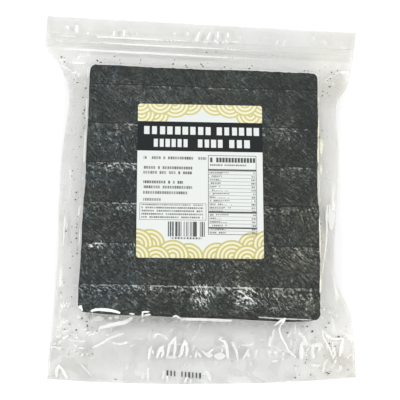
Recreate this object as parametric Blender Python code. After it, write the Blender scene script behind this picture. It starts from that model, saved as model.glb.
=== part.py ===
"""A clear zip bag packed with a stack of roasted nori sheets, lying flat with its paper label up.

Metres, +Z up, +Y towards the zip. The origin is the centre of the footprint, on the surface it lies on.
The closed bag and the sheets in it are one solid. The zip strip and the label are pieces of their own.
"""

import math

import bmesh
import bpy
from mathutils import Matrix, Vector

# The stack of sheets
SHEET_WIDTH = 0.190
SHEET_LENGTH = 0.205
STACK_HEIGHT = 0.025
SHEET_CORNER = 0.004
EDGE_ROUNDING = 0.0012

# The film round it
FILM_OVER_STACK = 0.0004
FILM_PAIR = 0.0010
SIDE_REACH = 0.0165
BOTTOM_REACH = 0.0240
SLOPE_POWER = 2.2
SIDE_LIFT = 0.0030
BOTTOM_LIFT = 0.0012
SIDE_WAVE = 0.0011
SIDE_WAVE_LENGTH = 0.082

# Outline of the bag below its header: (y, x) stations from the bottom seam up to the header
LEFT_SIDE = (
    (-0.1514, -0.1204),
    (-0.1170, -0.1187),
    (-0.0600, -0.1156),
    (-0.0064, -0.1167),
    (0.0418, -0.1150),
    (0.0788, -0.1117),
    (0.0958, -0.1140),
    (0.1251, -0.1338),
)
RIGHT_SIDE = (
    (-0.1473, 0.1274),
    (-0.0976, 0.1242),
    (-0.0695, 0.1116),
    (0.0000, 0.1138),
    (0.0408, 0.1162),
    (0.0840, 0.1150),
    (0.0960, 0.1230),
    (0.1190, 0.1292),
)
BOTTOM_BOW = 0.0052
BOTTOM_BOW_POWER = 2.4

# The header: a plain strip of doubled film above the stack, with the zip across it
HEADER_TOP_LEFT = (-0.1334, 0.1549)
HEADER_TOP_RIGHT = (0.1336, 0.1490)
HEADER_LOW_Z = 0.0056
HEADER_TOP_Z = 0.0021

ZIP_BELOW_TOP = 0.0225
ZIP_LENGTH = 0.2600
ZIP_CENTRE_X = -0.0020
ZIP_TAPE_WIDTH = 0.0125
ZIP_TAPE_THICKNESS = 0.0005
ZIP_RIBS = ((0.0045, 0.0016, 0.0012), (0.0009, 0.0016, 0.0012), (-0.0050, 0.0012, 0.0007))

# The paper label
LABEL_WIDTH = 0.1024
LABEL_LENGTH = 0.1287
LABEL_THICKNESS = 0.0004
LABEL_CORNER = 0.0022
LABEL_CENTRE = (-0.0019, 0.0070)
LABEL_TURN = math.radians(0.7)

CLEARANCE = 0.0003

# Creases pressed up in the film: points (x, y), height and half width
CREASES = {
    "neck_upper": (((-0.1310, 0.1200), (-0.1130, 0.1110)), 0.0022, 0.0045),
    "neck_lower": (((-0.1190, 0.1070), (-0.1010, 0.0960)), 0.0028, 0.0045),
    "flap": (((0.1262, 0.1100), (0.1040, 0.1085)), 0.0026, 0.0040),
    "left_margin": (((-0.1107, -0.0200), (-0.1113, -0.0620)), 0.0014, 0.0030),
    "right_margin": (((0.1052, -0.0110), (0.1010, -0.0740)), 0.0022, 0.0032),
    "left_corner": (((-0.0980, -0.1050), (-0.1150, -0.1210)), 0.0026, 0.0045),
    "left_streak": (((-0.0853, -0.1273), (-0.0549, -0.1080)), 0.0020, 0.0036),
    "left_foot": (((-0.1127, -0.1423), (-0.1045, -0.1500)), 0.0018, 0.0040),
    "hook_arm": (((0.0597, -0.1130), (0.0660, -0.1056)), 0.0018, 0.0032),
    "hook_stem": (((0.0640, -0.1090), (0.0728, -0.1275)), 0.0022, 0.0034),
    "bent": (((0.0792, -0.1147), (0.0862, -0.1205), (0.0829, -0.1327)), 0.0020, 0.0034),
    "vee_left": (((0.0999, -0.1085), (0.1109, -0.1369)), 0.0026, 0.0036),
    "vee_right": (((0.1000, -0.1085), (0.1167, -0.1175), (0.1141, -0.1299)), 0.0026, 0.0040),
}

# Gathers in the bottom margin, side by side where the slack of the front film ends
GATHER_COUNT = 8
GATHER_FIRST_X = -0.0388
GATHER_PITCH = 0.0098
GATHER_TOP_Y = -0.1215
GATHER_FOOT_Y = -0.1350
GATHER_HEIGHT = 0.0017
GATHER_HALF_WIDTH = 0.0036

# Steps of the bag's mesh
MARGIN_STEPS = 8
END_MARGIN_STEPS = 17
NECK_STEPS = 9
HEADER_STEPS = 2
ACROSS_STEPS = 56
ALONG_STEPS = 24
EDGE_INSETS = (0.0007, 0.0022)
MARGIN_EASE = 1.5
FLATNESS = math.radians(0.35)


def clamp(value, low=0.0, high=1.0):
    return max(low, min(high, value))


def mix(a, b, share):
    return a + (b - a) * share


def smooth(value):
    t = clamp(value)
    return t * t * (3 - 2 * t)


def through(stations, y):
    """x of a smooth line through (y, x) stations."""
    last = len(stations) - 2
    i = 0
    while i < last and y > stations[i + 1][0]:
        i += 1
    y0, x0 = stations[i]
    y1, x1 = stations[i + 1]
    run = y1 - y0
    slope = (x1 - x0) / run
    before = slope if i == 0 else (x1 - stations[i - 1][1]) / (y1 - stations[i - 1][0])
    after = slope if i == last else (stations[i + 2][1] - x0) / (stations[i + 2][0] - y0)
    t = clamp((y - y0) / run)
    bend_in = (before - slope) * run * t * (1 - t) ** 2
    bend_out = (after - slope) * run * t * t * (t - 1)
    return mix(x0, x1, t) + bend_in + bend_out


def on_line(start, end, x):
    """y at x on the straight line between two (x, y) points."""
    return mix(start[1], end[1], (x - start[0]) / (end[0] - start[0]))


HEADER_LOW_LEFT = (LEFT_SIDE[-1][1], LEFT_SIDE[-1][0])
HEADER_LOW_RIGHT = (RIGHT_SIDE[-1][1], RIGHT_SIDE[-1][0])
FOOT_LEFT = (LEFT_SIDE[0][1], LEFT_SIDE[0][0])
FOOT_RIGHT = (RIGHT_SIDE[0][1], RIGHT_SIDE[0][0])


def bottom_seam(x):
    """y of the bottom seam, a chord between the two feet that bows outwards."""
    share = clamp((x - FOOT_LEFT[0]) / (FOOT_RIGHT[0] - FOOT_LEFT[0]))
    bow = 1 - abs(2 * share - 1) ** BOTTOM_BOW_POWER
    return on_line(FOOT_LEFT, FOOT_RIGHT, x) - BOTTOM_BOW * bow


def header_low(x):
    return on_line(HEADER_LOW_LEFT, HEADER_LOW_RIGHT, x)


def header_top(x):
    return on_line(HEADER_TOP_LEFT, HEADER_TOP_RIGHT, x)


def header_z(x, y):
    """Underside of the header, a plane that falls towards its free edge."""
    along = (y - header_low(0)) / (header_top(0) - header_low(0))
    return mix(HEADER_LOW_Z, HEADER_TOP_Z, along)


def off_stack(x, y):
    """Distance from the outline of the rounded sheets, negative over them."""
    across = abs(x) - SHEET_WIDTH / 2 + SHEET_CORNER
    along = abs(y) - SHEET_LENGTH / 2 + SHEET_CORNER
    outside = math.hypot(max(across, 0), max(along, 0))
    return outside + min(max(across, along), 0) - SHEET_CORNER


def slope_share(x, y):
    """0 at the edge of the stack, 1 where the front film meets the back film."""
    across = max(abs(x) - SHEET_WIDTH / 2 + SHEET_CORNER, 0)
    along = max(abs(y) - SHEET_LENGTH / 2 + SHEET_CORNER, 0)
    end_reach = header_low(x) - SHEET_LENGTH / 2 if y > 0 else BOTTOM_REACH
    reach = mix(SIDE_REACH, end_reach, along / (across + along + 1e-9))
    distance = off_stack(x, y) - EDGE_ROUNDING
    if distance < -EDGE_ROUNDING:
        return 0.0
    if distance < EDGE_ROUNDING:
        distance = (distance + EDGE_ROUNDING) ** 2 / (4 * EDGE_ROUNDING)
    return clamp(distance / reach)


def lift(x, y):
    """Height of the joined films off the floor, outside the stack."""
    side = SIDE_LIFT + SIDE_WAVE * math.sin(2 * math.pi * y / SIDE_WAVE_LENGTH + (1 if x > 0 else 0))
    low = mix(side, BOTTOM_LIFT, smooth((-y - 0.075) / 0.045))
    return mix(low, header_z(x, y), smooth((y - 0.088) / 0.030))


def crease_height(x, y, points, height, half_width):
    best = 0.0
    place = Vector((x, y))
    for start, end in zip(points, points[1:]):
        a = Vector(start)
        run = Vector(end) - a
        share = clamp((place - a).dot(run) / run.length_squared)
        away = (place - a - run * share).length
        if away < half_width:
            best = max(best, math.cos(0.5 * math.pi * away / half_width) ** 2)
    return height * best


def gathers(x, y):
    total = 0.0
    for i in range(GATHER_COUNT):
        centre = GATHER_FIRST_X + GATHER_PITCH * i
        longer = 0.004 * math.sin(2.1 * i)
        points = ((centre, GATHER_FOOT_Y), (centre + 0.002, GATHER_TOP_Y + longer))
        total = max(total, crease_height(x, y, points, GATHER_HEIGHT, GATHER_HALF_WIDTH))
    return total


def bag_top(x, y):
    share = slope_share(x, y)
    stack_top = STACK_HEIGHT + FILM_OVER_STACK
    lying = lift(x, y) + FILM_PAIR
    height = mix(lying, stack_top, (1 - share) ** SLOPE_POWER)
    raised = gathers(x, y)
    for points, rise, half_width in CREASES.values():
        raised = max(raised, crease_height(x, y, points, rise, half_width))
    return height + raised * smooth(share * 4)


def bag_underside(x, y):
    return lift(x, y) * smooth(slope_share(x, y))


def eased(steps):
    """Shares from 0 to 1 that crowd towards 1."""
    return [1 - (1 - k / steps) ** MARGIN_EASE for k in range(steps + 1)]


def even(steps):
    return [k / steps for k in range(steps + 1)]


def stack_stops(length, steps):
    """Places across the stack, with close lines along both edges."""
    half = length / 2
    inner = half - EDGE_INSETS[-1]
    middle = [mix(-inner, inner, share) for share in even(steps)]
    edge = [half - inset for inset in EDGE_INSETS[:-1]]
    return [-place for place in edge] + middle + edge[::-1]


def plan_columns():
    left = [("left", share) for share in eased(MARGIN_STEPS)]
    right = [("right", share) for share in eased(MARGIN_STEPS)[::-1]]
    return left + [("stack", place) for place in stack_stops(SHEET_WIDTH, ACROSS_STEPS)] + right


def plan_rows():
    bottom = [("bottom", share) for share in eased(END_MARGIN_STEPS)]
    stack = [("stack", place) for place in stack_stops(SHEET_LENGTH, ALONG_STEPS)]
    neck = [("neck", share) for share in eased(NECK_STEPS)[::-1]]
    header = [("header", share) for share in even(HEADER_STEPS)[1:]]
    return bottom + stack + neck + header


def row_y(row, x):
    zone, value = row
    half = SHEET_LENGTH / 2
    if zone == "bottom":
        return mix(bottom_seam(x), -half, value)
    if zone == "stack":
        return value
    if zone == "neck":
        return mix(header_low(x), half, value)
    return mix(header_low(x), header_top(x), value)


def side_x(side, y):
    stations, top = (LEFT_SIDE, HEADER_TOP_LEFT) if side == "left" else (RIGHT_SIDE, HEADER_TOP_RIGHT)
    if y > stations[-1][0]:
        return mix(stations[-1][1], top[0], (y - stations[-1][0]) / (top[1] - stations[-1][0]))
    return through(stations, y)


def plan_point(column, row):
    """(x, y) of a crossing of the bag's mesh."""
    side, value = column
    if side == "stack":
        return value, row_y(row, value)
    edge = SHEET_WIDTH / 2 * (-1 if side == "left" else 1)
    rim = side_x(side, row_y(row, FOOT_LEFT[0] if side == "left" else FOOT_RIGHT[0]))
    x = mix(rim, edge, value)
    return x, row_y(row, x)


def material(name, colour, roughness, alpha=1.0):
    made = bpy.data.materials.new(name)
    made.use_nodes = True
    shader = made.node_tree.nodes["Principled BSDF"]
    shader.inputs["Base Color"].default_value = (*colour, 1)
    shader.inputs["Roughness"].default_value = roughness
    shader.inputs["Metallic"].default_value = 0.0
    shader.inputs["Alpha"].default_value = alpha
    return made


def add_object(name, mesh, collection, made):
    piece = bpy.data.objects.new(name, mesh)
    mesh.materials.append(made)
    collection.objects.link(piece)
    return piece


def build_bag(collection):
    columns = plan_columns()
    rows = plan_rows()
    bm = bmesh.new()
    bmesh.ops.create_grid(bm, x_segments=len(columns) - 1, y_segments=len(rows) - 1, size=1)
    for vertex in bm.verts:
        i = round((vertex.co.x + 1) / 2 * (len(columns) - 1))
        j = round((vertex.co.y + 1) / 2 * (len(rows) - 1))
        vertex.co.xy = plan_point(columns[i], rows[j])
    upper = bm.verts[:]
    pulled = bmesh.ops.extrude_face_region(bm, geom=bm.faces[:])
    lower = [item for item in pulled["geom"] if isinstance(item, bmesh.types.BMVert)]
    for vertex in upper:
        vertex.co.z = bag_top(vertex.co.x, vertex.co.y)
    for vertex in lower:
        vertex.co.z = bag_underside(vertex.co.x, vertex.co.y)
    bmesh.ops.recalc_face_normals(bm, faces=bm.faces[:])
    mesh = bpy.data.meshes.new("bag")
    bm.to_mesh(mesh)
    bm.free()
    mesh.shade_smooth()
    bag = add_object("bag", mesh, collection, material("clear_film", (0.80, 0.81, 0.79), 0.15, 0.35))
    flat = bag.modifiers.new("flat_faces_joined", "DECIMATE")
    flat.decimate_type = "DISSOLVE"
    flat.angle_limit = FLATNESS
    return bag


def zip_section():
    """Half-open outline of the zip strip's section: (up the header, off the header)."""
    half = ZIP_TAPE_WIDTH / 2
    points = [(-half, 0), (half, 0), (half, ZIP_TAPE_THICKNESS)]
    for centre, width, height in ZIP_RIBS:
        top = ZIP_TAPE_THICKNESS + height
        for across, off in ((0.5, 0), (0.42, 0.75), (0.2, 1), (-0.2, 1), (-0.42, 0.75), (-0.5, 0)):
            points.append((centre + width * across, mix(ZIP_TAPE_THICKNESS, top, off)))
    points.append((-half, ZIP_TAPE_THICKNESS))
    return points


def build_zip(collection):
    curve = bpy.data.curves.new("zip_strip", "CURVE")
    curve.dimensions = "2D"
    curve.fill_mode = "BOTH"
    curve.extrude = ZIP_LENGTH / 2
    section = zip_section()
    spline = curve.splines.new("POLY")
    spline.points.add(len(section) - 1)
    for point, (up, off) in zip(spline.points, section):
        point.co = (up, off, 0, 1)
    spline.use_cyclic_u = True
    strip = add_object("zip_strip", curve, collection, material("zip_plastic", (0.86, 0.87, 0.86), 0.12, 0.6))
    along = Vector((HEADER_TOP_RIGHT[0] - HEADER_TOP_LEFT[0], HEADER_TOP_RIGHT[1] - HEADER_TOP_LEFT[1], 0))
    fall = (HEADER_TOP_Z - HEADER_LOW_Z) / (header_top(0) - header_low(0))
    along.z = fall * along.y
    along.normalize()
    off = Vector((0, -fall, 1)).normalized()
    up = off.cross(along)
    x = ZIP_CENTRE_X
    y = header_top(x) - ZIP_BELOW_TOP
    place = Vector((x, y, header_z(x, y) + FILM_PAIR)) + off * CLEARANCE
    strip.matrix_world = Matrix.Translation(place) @ Matrix((up, off, along)).transposed().to_4x4()
    return strip


def build_label(collection):
    bm = bmesh.new()
    bmesh.ops.create_cube(bm, size=1)
    for vertex in bm.verts:
        vertex.co.x *= LABEL_WIDTH
        vertex.co.y *= LABEL_LENGTH
        vertex.co.z *= LABEL_THICKNESS
    upright = [edge for edge in bm.edges if abs(edge.verts[0].co.z - edge.verts[1].co.z) > LABEL_THICKNESS / 2]
    bmesh.ops.bevel(bm, geom=upright, offset=LABEL_CORNER, segments=5, profile=0.5, affect="EDGES")
    mesh = bpy.data.meshes.new("label")
    bm.to_mesh(mesh)
    bm.free()
    label = add_object("label", mesh, collection, material("label_paper", (0.93, 0.92, 0.88), 0.45))
    rest = STACK_HEIGHT + FILM_OVER_STACK + CLEARANCE
    label.location = (*LABEL_CENTRE, rest + LABEL_THICKNESS / 2)
    label.rotation_euler = (0, 0, LABEL_TURN)
    return label


def main():
    for old in list(bpy.data.objects):
        bpy.data.objects.remove(old)
    collection = bpy.data.collections.new("nori_zip_bag")
    bpy.context.scene.collection.children.link(collection)
    build_bag(collection)
    build_zip(collection)
    build_label(collection)


main()
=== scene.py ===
import math
import random

import bpy
import numpy as np
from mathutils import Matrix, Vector, noise


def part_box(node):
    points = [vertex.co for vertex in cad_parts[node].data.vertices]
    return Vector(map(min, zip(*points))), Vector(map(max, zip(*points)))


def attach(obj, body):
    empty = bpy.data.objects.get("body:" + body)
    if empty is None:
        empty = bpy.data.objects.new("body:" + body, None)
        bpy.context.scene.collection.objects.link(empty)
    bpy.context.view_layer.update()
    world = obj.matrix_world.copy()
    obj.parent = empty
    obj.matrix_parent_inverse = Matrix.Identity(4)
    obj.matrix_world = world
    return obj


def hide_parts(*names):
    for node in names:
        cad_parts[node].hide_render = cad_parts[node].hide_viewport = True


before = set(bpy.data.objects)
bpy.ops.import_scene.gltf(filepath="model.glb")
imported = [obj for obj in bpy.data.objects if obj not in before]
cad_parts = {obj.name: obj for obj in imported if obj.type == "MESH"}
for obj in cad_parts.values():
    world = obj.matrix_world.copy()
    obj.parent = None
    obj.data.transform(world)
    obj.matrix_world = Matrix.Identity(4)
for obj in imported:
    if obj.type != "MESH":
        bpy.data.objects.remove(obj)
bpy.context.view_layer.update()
mm = 0.001  # lengths are in metres, most of them written as mm
bagLow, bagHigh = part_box("bag")
print("frame loaded")


def clamp(value):
    return np.clip(value, 0, 1)


def mix(a, b, share):
    return a + (b - a) * share


def smooth(value):
    t = clamp(value)
    return t * t * (3 - 2 * t)


def atPlaces(value, stations):  # value in metres, stations as pairs in mm
    places, sizes = zip(*stations)
    return np.interp(value / mm, places, sizes) * mm


def noiseField(x, y, lengthX, lengthY, seed):  # smooth noise, from -1 to 1, its lengths in mm
    lengthX, lengthY = lengthX * mm, lengthY * mm
    return np.array([noise.noise((a / lengthX + seed, b / lengthY, seed * 1.7)) for a, b in zip(x, y)])


def ripples(x, y, waves):  # soft waves: height and two lengths in mm, and a seed
    return sum(height * mm * noiseField(x, y, *lengthsAndSeed) for height, *lengthsAndSeed in waves)


def oval(x, y, centreX, centreY, reachX, reachY):  # a soft spot, in mm: 1 inside, 0 from 1.5 reaches on
    return smooth(1.5 - np.hypot((x / mm - centreX) / reachX, (y / mm - centreY) / reachY))


def strongest(x, y, spots):  # the most that any of the spots gives at each place
    return np.max([amount * oval(x, y, *spot) for *spot, amount in spots], axis=0)


def deselectAll():
    if bpy.context.mode != "OBJECT":
        bpy.ops.object.mode_set(mode="OBJECT")
    bpy.ops.object.select_all(action="DESELECT")


def named(name):  # the primitive that was just added
    piece = bpy.context.active_object
    piece.name = name
    piece.data.name = name
    return piece


def getPoints(piece):
    points = np.empty(len(piece.data.vertices) * 3)
    piece.data.vertices.foreach_get("co", points)
    return points.reshape(-1, 3)


def setPoints(piece, points):
    piece.data.vertices.foreach_set("co", np.ascontiguousarray(points, float).ravel())
    piece.data.update()


def setValues(piece, name, values):  # one number a point, for a material to read
    attribute = piece.data.attributes.new(name, "FLOAT", "POINT")
    attribute.data.foreach_set("value", np.ascontiguousarray(values, np.float32).ravel())


def copyOf(piece):
    twin = piece.copy()
    twin.data = piece.data.copy()
    bpy.context.collection.objects.link(twin)
    return twin


def thicken(piece, thickness, offset=-1):
    modifier = piece.modifiers.new("thickness", "SOLIDIFY")
    modifier.thickness = thickness
    modifier.offset = offset
    bpy.context.view_layer.objects.active = piece
    bpy.ops.object.modifier_apply(modifier=modifier.name)


def joinAll(pieces, name):
    deselectAll()
    for piece in pieces:
        piece.select_set(True)
    bpy.context.view_layer.objects.active = pieces[0]
    bpy.ops.object.join()
    return named(name)


def outwards():  # in edit mode
    bpy.ops.mesh.select_all(action="SELECT")
    bpy.ops.mesh.normals_make_consistent(inside=False)
    bpy.ops.object.mode_set(mode="OBJECT")


def cut(axis, place):  # in edit mode, right across the piece
    at, normal = [0, 0, 0], [0, 0, 0]
    at[axis], normal[axis] = place, 1
    bpy.ops.mesh.select_all(action="SELECT")
    bpy.ops.mesh.bisect(plane_co=at, plane_no=normal)


def addPlate(name, width, length, place=(0, 0, 0)):  # left in edit mode, selected
    deselectAll()
    bpy.ops.mesh.primitive_plane_add(size=1, location=place)
    plate = named(name)
    plate.scale = (width, length, 1)
    bpy.ops.object.transform_apply(location=True, rotation=True, scale=True)
    bpy.ops.object.mode_set(mode="EDIT")
    bpy.ops.mesh.select_all(action="SELECT")
    return plate


def roundedPlate(name, width, length, corner, segments):  # left in edit mode too
    plate = addPlate(name, width, length)
    bpy.ops.mesh.bevel(offset=corner, segments=segments, affect="VERTICES")
    return plate


def plateSides(node, turn, corner=0.0):  # width and length of a turned plate that fills its node
    low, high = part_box(node)
    across, along = (high[k] - low[k] - 2 * corner for k in (0, 1))
    c, s = math.cos(turn), abs(math.sin(turn))
    spread = c * c - s * s
    return (across * c - along * s) / spread + 2 * corner, (along * c - across * s) / spread + 2 * corner


# the pile of sheets: a plain rectangle, and by how much each of its edges strays outwards from it
stack = dict(
    width=190 * mm, length=205 * mm, height=25 * mm, corner=4.5 * mm, sheets=100,
    left=((-95, 1.7), (-65, 1.1), (-35, 0.8), (-13, 0.5), (0, -0.5), (42, -0.5), (60, -1.1), (95, -1.0)),
    right=((-93, 0.1), (-60, 0.5), (-36, 1.2), (-16, 0.2), (2, -0.9), (23, -0.5), (33, -0.7), (56, 0.3),
           (93, 0.4)),
    front=((-92, -1.6), (-79, -0.3), (-64, 0.3), (-44, 0.4), (7, 1.4), (46, 2.0), (72, 2.7), (91, 2.0)),
    back=((-90, 1.3), (-65, 1.1), (-40, 0.6), (0, 0.1), (40, 0.4), (80, -0.1)),
)


def edgeShift(x, y):
    nearSide = smooth(np.abs(x) / (stack["width"] / 2) * 2 - 1)
    nearEnd = smooth(np.abs(y) / (stack["length"] / 2) * 2 - 1)
    across = np.where(x > 0, atPlaces(y, stack["right"]), -atPlaces(y, stack["left"]))
    along = np.where(y > 0, atPlaces(x, stack["back"]), -atPlaces(x, stack["front"]))
    return across * nearSide, along * nearEnd


def pastCorner(x, y):  # how far beyond the centres of the pile's round corners
    shiftX, shiftY = edgeShift(x, y)
    across = np.abs(x - shiftX) - stack["width"] / 2 + stack["corner"]
    along = np.abs(y - shiftY) - stack["length"] / 2 + stack["corner"]
    return across, along


def offStack(x, y):  # distance from the pile, less than 0 on it
    across, along = pastCorner(x, y)
    outside = np.hypot(np.maximum(across, 0), np.maximum(along, 0))
    return outside + np.minimum(np.maximum(across, along), 0) - stack["corner"]


bag = dict(
    filmThickness=0.08 * mm, filmOverStack=0.4 * mm, edgeRounding=1.2 * mm,
    sideReach=17.5 * mm, bottomReach=27 * mm, slopePower=2.7, reachVaries=0.22,
    sideLift=3.0 * mm, bottomLift=1.2 * mm, sideWave=1.1 * mm, sideWaveLength=82 * mm,
    pairGap=0.62 * mm, seamWidth=5 * mm, seamGap=0.12 * mm,
    bottomBow=4.7 * mm, bottomBowPower=2.4, frontRows=(0.004, 0.008, 0.013, 0.019),
    # steps of the films' grids: side margin, across, bottom margin, along the pile, neck
    frontSteps=(25, 236, 74, 28, 20), backSteps=(12, 60, 16, 50, 8), backHeaderSteps=8,
    headerTopLeft=(-133.4 * mm, 154.9 * mm), headerTopRight=(133.6 * mm, 149.0 * mm),
    headerLowZ=5.6 * mm, headerTopZ=2.1 * mm,
    # y and x of the sides, mm
    leftSide=((-152.6, -120.4), (-117.0, -118.7), (-60.0, -115.6), (-6.4, -116.7), (41.8, -115.0),
              (78.8, -111.7), (95.8, -114.0), (125.1, -133.8)),
    rightSide=((-147.3, 127.4), (-97.6, 124.2), (-69.5, 111.6), (0.0, 113.8), (40.8, 116.2), (84.0, 115.0),
               (96.0, 123.0), (119.0, 129.2)),
    # ripples of the front film, off the pile and over it, and how far it sags there
    marginRipples=((0.22, 9, 16, 3.1), (0.10, 4, 7, 8.4)), topRipples=((0.10, 13, 8, 5.2),), sag=0.08 * mm,
)


def sideEnd(side, which):
    y, x = bag[side][which]
    return x * mm, y * mm


headerLowLeft, headerLowRight = sideEnd("leftSide", -1), sideEnd("rightSide", -1)
footLeft, footRight = sideEnd("leftSide", 0), sideEnd("rightSide", 0)


def through(stations, y):  # x of a smooth line through the stations
    last = len(stations) - 2
    i = 0
    while i < last and y > stations[i + 1][0] * mm:
        i += 1
    (y0, x0), (y1, x1) = stations[i], stations[i + 1]
    run = y1 - y0
    slope = (x1 - x0) / run
    before = slope if i == 0 else (x1 - stations[i - 1][1]) / (y1 - stations[i - 1][0])
    after = slope if i == last else (stations[i + 2][1] - x0) / (stations[i + 2][0] - y0)
    t = min(max((y / mm - y0) / run, 0), 1)
    bend = (before - slope) * run * t * (1 - t) ** 2 + (after - slope) * run * t * t * (t - 1)
    return (mix(x0, x1, t) + bend) * mm


def sideX(side, y):
    lowEnd = sideEnd(side, -1)
    top = bag["headerTopLeft"] if side == "leftSide" else bag["headerTopRight"]
    if y > lowEnd[1]:
        return mix(lowEnd[0], top[0], (y - lowEnd[1]) / (top[1] - lowEnd[1]))
    return through(bag[side], y)


def onLine(start, end, x):
    return mix(start[1], end[1], (x - start[0]) / (end[0] - start[0]))


def bottomSeam(x):
    share = clamp((x - footLeft[0]) / (footRight[0] - footLeft[0]))
    bow = 1 - np.abs(2 * share - 1) ** bag["bottomBowPower"]
    return onLine(footLeft, footRight, x) - bag["bottomBow"] * bow


def headerLow(x):
    return onLine(headerLowLeft, headerLowRight, x)


def headerTop(x):
    return onLine(bag["headerTopLeft"], bag["headerTopRight"], x)


def headerZ(y):
    along = (y - headerLow(0)) / (headerTop(0) - headerLow(0))
    return mix(bag["headerLowZ"], bag["headerTopZ"], along)


def rimDistance(x, y):  # distance to the bag's nearest side or bottom edge
    levels = np.linspace(bagLow[1], bagHigh[1], 241)
    leftRim = np.interp(y, levels, [sideX("leftSide", v) for v in levels])
    rightRim = np.interp(y, levels, [sideX("rightSide", v) for v in levels])
    return np.minimum(np.minimum(x - leftRim, rightRim - x), y - bottomSeam(x))


def slopeShare(x, y):  # 0 at the pile's edge, 1 where front and back film meet
    across, along = (np.maximum(past, 0) for past in pastCorner(x, y))
    endReach = np.where(y > 0, headerLow(x) - stack["length"] / 2, bag["bottomReach"])
    reach = mix(bag["sideReach"], endReach, along / (across + along + 1e-9))
    wander = 0.6 * np.sin((x - y) / (7.3 * mm) + 0.8) + 0.4 * np.sin((x + y) / (4.1 * mm) + 2.0)
    reach = reach * (1 + bag["reachVaries"] * wander)
    r = bag["edgeRounding"]
    distance = offStack(x, y) - r
    rounded = np.where(distance < r, np.maximum(distance + r, 0) ** 2 / (4 * r), distance)
    return clamp(rounded / reach)


def lift(x, y):  # height of the joined films off the floor
    wave = np.sin(2 * math.pi * y / bag["sideWaveLength"] + np.where(x > 0, 1, 0))
    side = bag["sideLift"] + bag["sideWave"] * wave
    low = mix(side, bag["bottomLift"], smooth((-y - 75 * mm) / (45 * mm)))
    return mix(low, headerZ(y), smooth((y - 88 * mm) / (30 * mm)))


def eased(steps, power):
    return [1 - (1 - k / steps) ** power for k in range(steps + 1)]


def even(steps):
    return [k / steps for k in range(steps + 1)]


def rowY(zone, value, x):
    half = stack["length"] / 2
    if zone == "bottom":
        return mix(bottomSeam(x), -half, value)
    if zone == "stack":
        return mix(-half, half, value) + 0 * x
    if zone == "neck":
        return mix(headerLow(x), half, value)
    return mix(headerLow(x), headerTop(x), value)


def filmGrid(name, marginSteps, acrossSteps, bottomSteps, alongSteps, neckSteps, headerShares):
    # a grid laid over the bag's outline, with its lines crowded where the film bends
    half = stack["width"] / 2
    margin = np.array(eased(marginSteps, 1.25))
    inner = np.array(even(acrossSteps)[1:-1]) * 2 - 1
    rows = [("bottom", share) for share in eased(bottomSteps, 1.1)]
    rows += [("stack", share) for share in (*bag["frontRows"], *even(alongSteps)[1:-1], 0.992)]
    rows += [("neck", share) for share in eased(neckSteps, 0.8)[::-1]]
    rows += [("header", share) for share in headerShares[1:]]
    gridX, gridY = [], []
    for zone, value in rows:
        leftRim = sideX("leftSide", rowY(zone, value, footLeft[0]))
        rightRim = sideX("rightSide", rowY(zone, value, footRight[0]))
        x = np.concatenate([mix(leftRim, -half, margin), inner * half, mix(rightRim, half, margin)[::-1]])
        gridX.append(x)
        gridY.append(rowY(zone, value, x))
    gridX, gridY = np.array(gridX), np.array(gridY)
    down, over = gridX.shape
    deselectAll()
    bpy.ops.mesh.primitive_grid_add(x_subdivisions=over - 1, y_subdivisions=down - 1, size=2)
    piece = named(name)
    points = getPoints(piece)
    i = np.rint((points[:, 0] + 1) / 2 * (over - 1)).astype(int)
    j = np.rint((points[:, 1] + 1) / 2 * (down - 1)).astype(int)
    points[:, 0], points[:, 1] = gridX[j, i], gridY[j, i]
    setPoints(piece, points)
    return piece, points


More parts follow.
